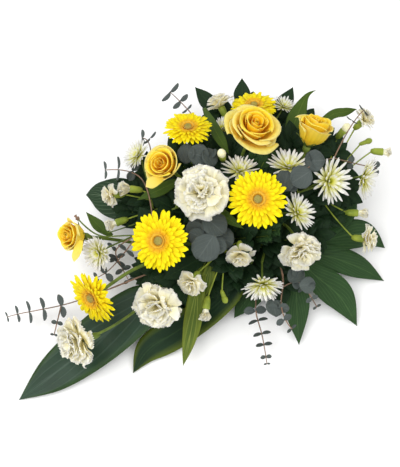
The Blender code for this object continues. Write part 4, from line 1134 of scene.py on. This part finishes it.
def makeSprays():
    tube = turnedFrom("calyx", florets["calyx"])
    bud = turnedFrom("bud", florets["bud"])
    for corner in bud.data.uv_layers.new(name="UVMap").data:
        corner.uv = (0.5, 0.7)
    for name, (node, forkSpot, ends) in sprays.items():
        rng = random.Random(name)
        fork = onView(*forkSpot)
        mouths = [onView(*end[:3]) for end in ends]
        way = (sum(mouths, Vector()) / len(mouths) - fork).normalized()
        petals = []
        greens = []
        for (x, y, height, lean, toward, size, openness), mouth in zip(ends, mouths):
            size /= 1000
            axis = facing(lean, toward)
            stand = placed(mouth, axis, rng.uniform(0, 6))
            long = 0.020 if size > 0.012 else 0.012
            greens.append(copyOf(tube, stand @ Matrix.Scale(long / 0.014, 4)))
            if openness == 0:
                side = greens if size < 0.012 else petals
                side.append(copyOf(bud, stand @ Matrix.Scale(1.3 * size, 4)))
            else:
                half = openness < 1
                if half:
                    petals.append(copyOf(bud, stand @ Matrix.Scale(0.0135, 4)))
                parts = fanned(carnationPetals, florets["half" if half else "open"], rng, 0.6, 2.0)
                spread = size * (0.92 if half else 1.1)
                petals += settle(parts, stand @ Matrix.Scale(spread, 4))
            foot = mouth - axis * (long - 0.003)
            bend = fork + (foot - fork) * 0.55 - axis * 0.10 * (foot - fork).length
            greens.append(twigAlong([fork - way * 0.003, bend, foot], [0.0012, 0.0010, 0.0012]))
        greens.append(twigAlong(stemRoute(fork, way), 0.0018))
        gathered(name, petals, "carnationPetal", [node])
        gathered(name + "Stem", greens, "calyx", ())
    discard(tube, bud)


makeSprays()
discard(*carnationPetals)
print("Spray carnations made")

# Stems of the large blooms, each with the green cup that holds its head
cups = {
    "gerbera": ((0, 0), (0.0066, 0.0004), (0.0068, -0.001), (0.0052, -0.0045), (0.0033, -0.009),
                (0, -0.0095)),
    "rose": ((0, 0.001), (0.0052, 0.001), (0.0062, -0.0015), (0.0060, -0.005), (0.0040, -0.009),
             (0.0029, -0.012), (0, -0.0125)),
    "carnation": ((0, 0.001), (0.0060, 0.001), (0.0064, -0.003), (0.0062, -0.012),
                  (0.0052, -0.020), (0.0030, -0.026), (0, -0.0265)),
}
stalks = {
    "gerbera": (gerbera, 0.0028, {"gerberaTail": 0.016}),
    "rose": (rose, 0.0027, {}),
    "carnation": (carnation, 0.0022, {"carnationTail": 0.032}),
}
sepalShape = ((0, 0.12, 0), (0.35, 0.13, 0.05), (0.7, 0.07, 0.04), (1.0, 0.008, -0.04))


def makeBloomStems():
    sepal = petalFromRows("sepal", 2, sepalShape, cup=0.03, thickness=0.03)
    for kind, (flowers, radius, lifts) in stalks.items():
        cup = turnedFrom("cup", cups[kind])
        for name, bloom in flowers["blooms"].items():
            neck, axis, _ = seatOf(flowers, name, rose["cupped"].get(name, (1, 1))[1])
            stand = placed(neck, axis, 0.7 * bloom[1])
            pieces = [copyOf(cup, stand)]
            if kind == "rose":
                for k in range(5):
                    lean = 38 + 9 * math.sin(2.3 * k)
                    place = Matrix.Rotation(2 * math.pi * k / 5, 4, "Z")
                    place = place @ Matrix.Translation((0, 0.004, 0))
                    place = place @ Matrix.Rotation(math.radians(lean), 4, "X")
                    pieces.append(copyOf(sepal, stand @ place @ Matrix.Scale(0.024, 4)))
            route = stemRoute(neck - axis * 0.004, axis, lifts.get(name, 0.0))
            pieces.append(twigAlong(route, radius))
            gathered(name + "Stem", pieces, "stem", [bloom[0] + "_stem"])
        discard(cup)
    discard(sepal)


makeBloomStems()
print("Stems made")

# Loose outer petals that hang below two of the roses: runs of (x, y, height, width)
droops = {
    "roseLeftDroop": ((163, 177, 172, 10), (157, 180, 172, 16), (150, 184, 170, 16),
                      (146, 187, 166, 0)),
    "roseTailDroop": ((80, 240, 112, 10), (78, 249, 108, 13), (75, 257, 102, 10),
                      (74, 262, 98, 0)),
}
for name, run in droops.items():
    droop = leafAlong(run, fold=0.1, wave=0.12)
    for corner in droop.data.uv_layers.active.data:
        corner.uv = (corner.uv[0], 0.75 + 0.25 * corner.uv[1])
    gathered(name, [droop], "rosePale", ())

# A wilted bud behind the small rose
wilted = {
    "base": (100, 237, 88), "from": (128, 236, 85), "bend": (88, 230, 88), "tip": (78, 219, 86),
    "profile": ((0, 0.008), (0.0030, 0.007), (0.0016, 0.004), (0.0038, 0.002),
                (0.0022, -0.002), (0, -0.003)),
}
wiltedBase = onView(*wilted["base"])
wiltedRoute = stemRoute(wiltedBase, (wiltedBase - onView(*wilted["from"])).normalized())
wiltedRoute += [onView(*wilted["bend"]), onView(*wilted["tip"])]
gathered("wiltedStem", [twigAlong(wiltedRoute, 0.0012)], "stem", ())
wiltedBud = turnedFrom("wiltedBud", wilted["profile"], 10)
wiltedBud.data.transform(placed(onView(*wilted["tip"]), facing(80, 130)))
gathered("wiltedHead", [wiltedBud], "eucalyptusStem", ())

# Stem of the two heads at the back, which share one node with it
backFork = onView(248, 160, 85)
backStems = []
backEnds = []
for name in ("mumBackLow", "mumBackHigh"):
    neck, axis, _ = seatOf(mum, name)
    backEnds.append(onView(*mum["blooms"][name][1:4]))
    middle = backFork + (neck - backFork) * 0.55 - axis * 0.10 * (neck - backFork).length
    backStems.append(twigAlong([backFork, middle, neck], 0.0014))
backWay = (sum(backEnds, Vector()) / 2 - backFork).normalized()
backStems.append(twigAlong(stemRoute(backFork, backWay), 0.0022))
gathered("mumBackStem", backStems, "stem", ())

# The nodes that keep their shape get their finish
kept = {"spray_tray": "tray", "foam_block": "foam"}
for nodeName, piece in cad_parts.items():
    piece.data.materials.clear()
    piece.data.materials.append(finishes[kept.get(nodeName, "stem")])
print("Finishes set")
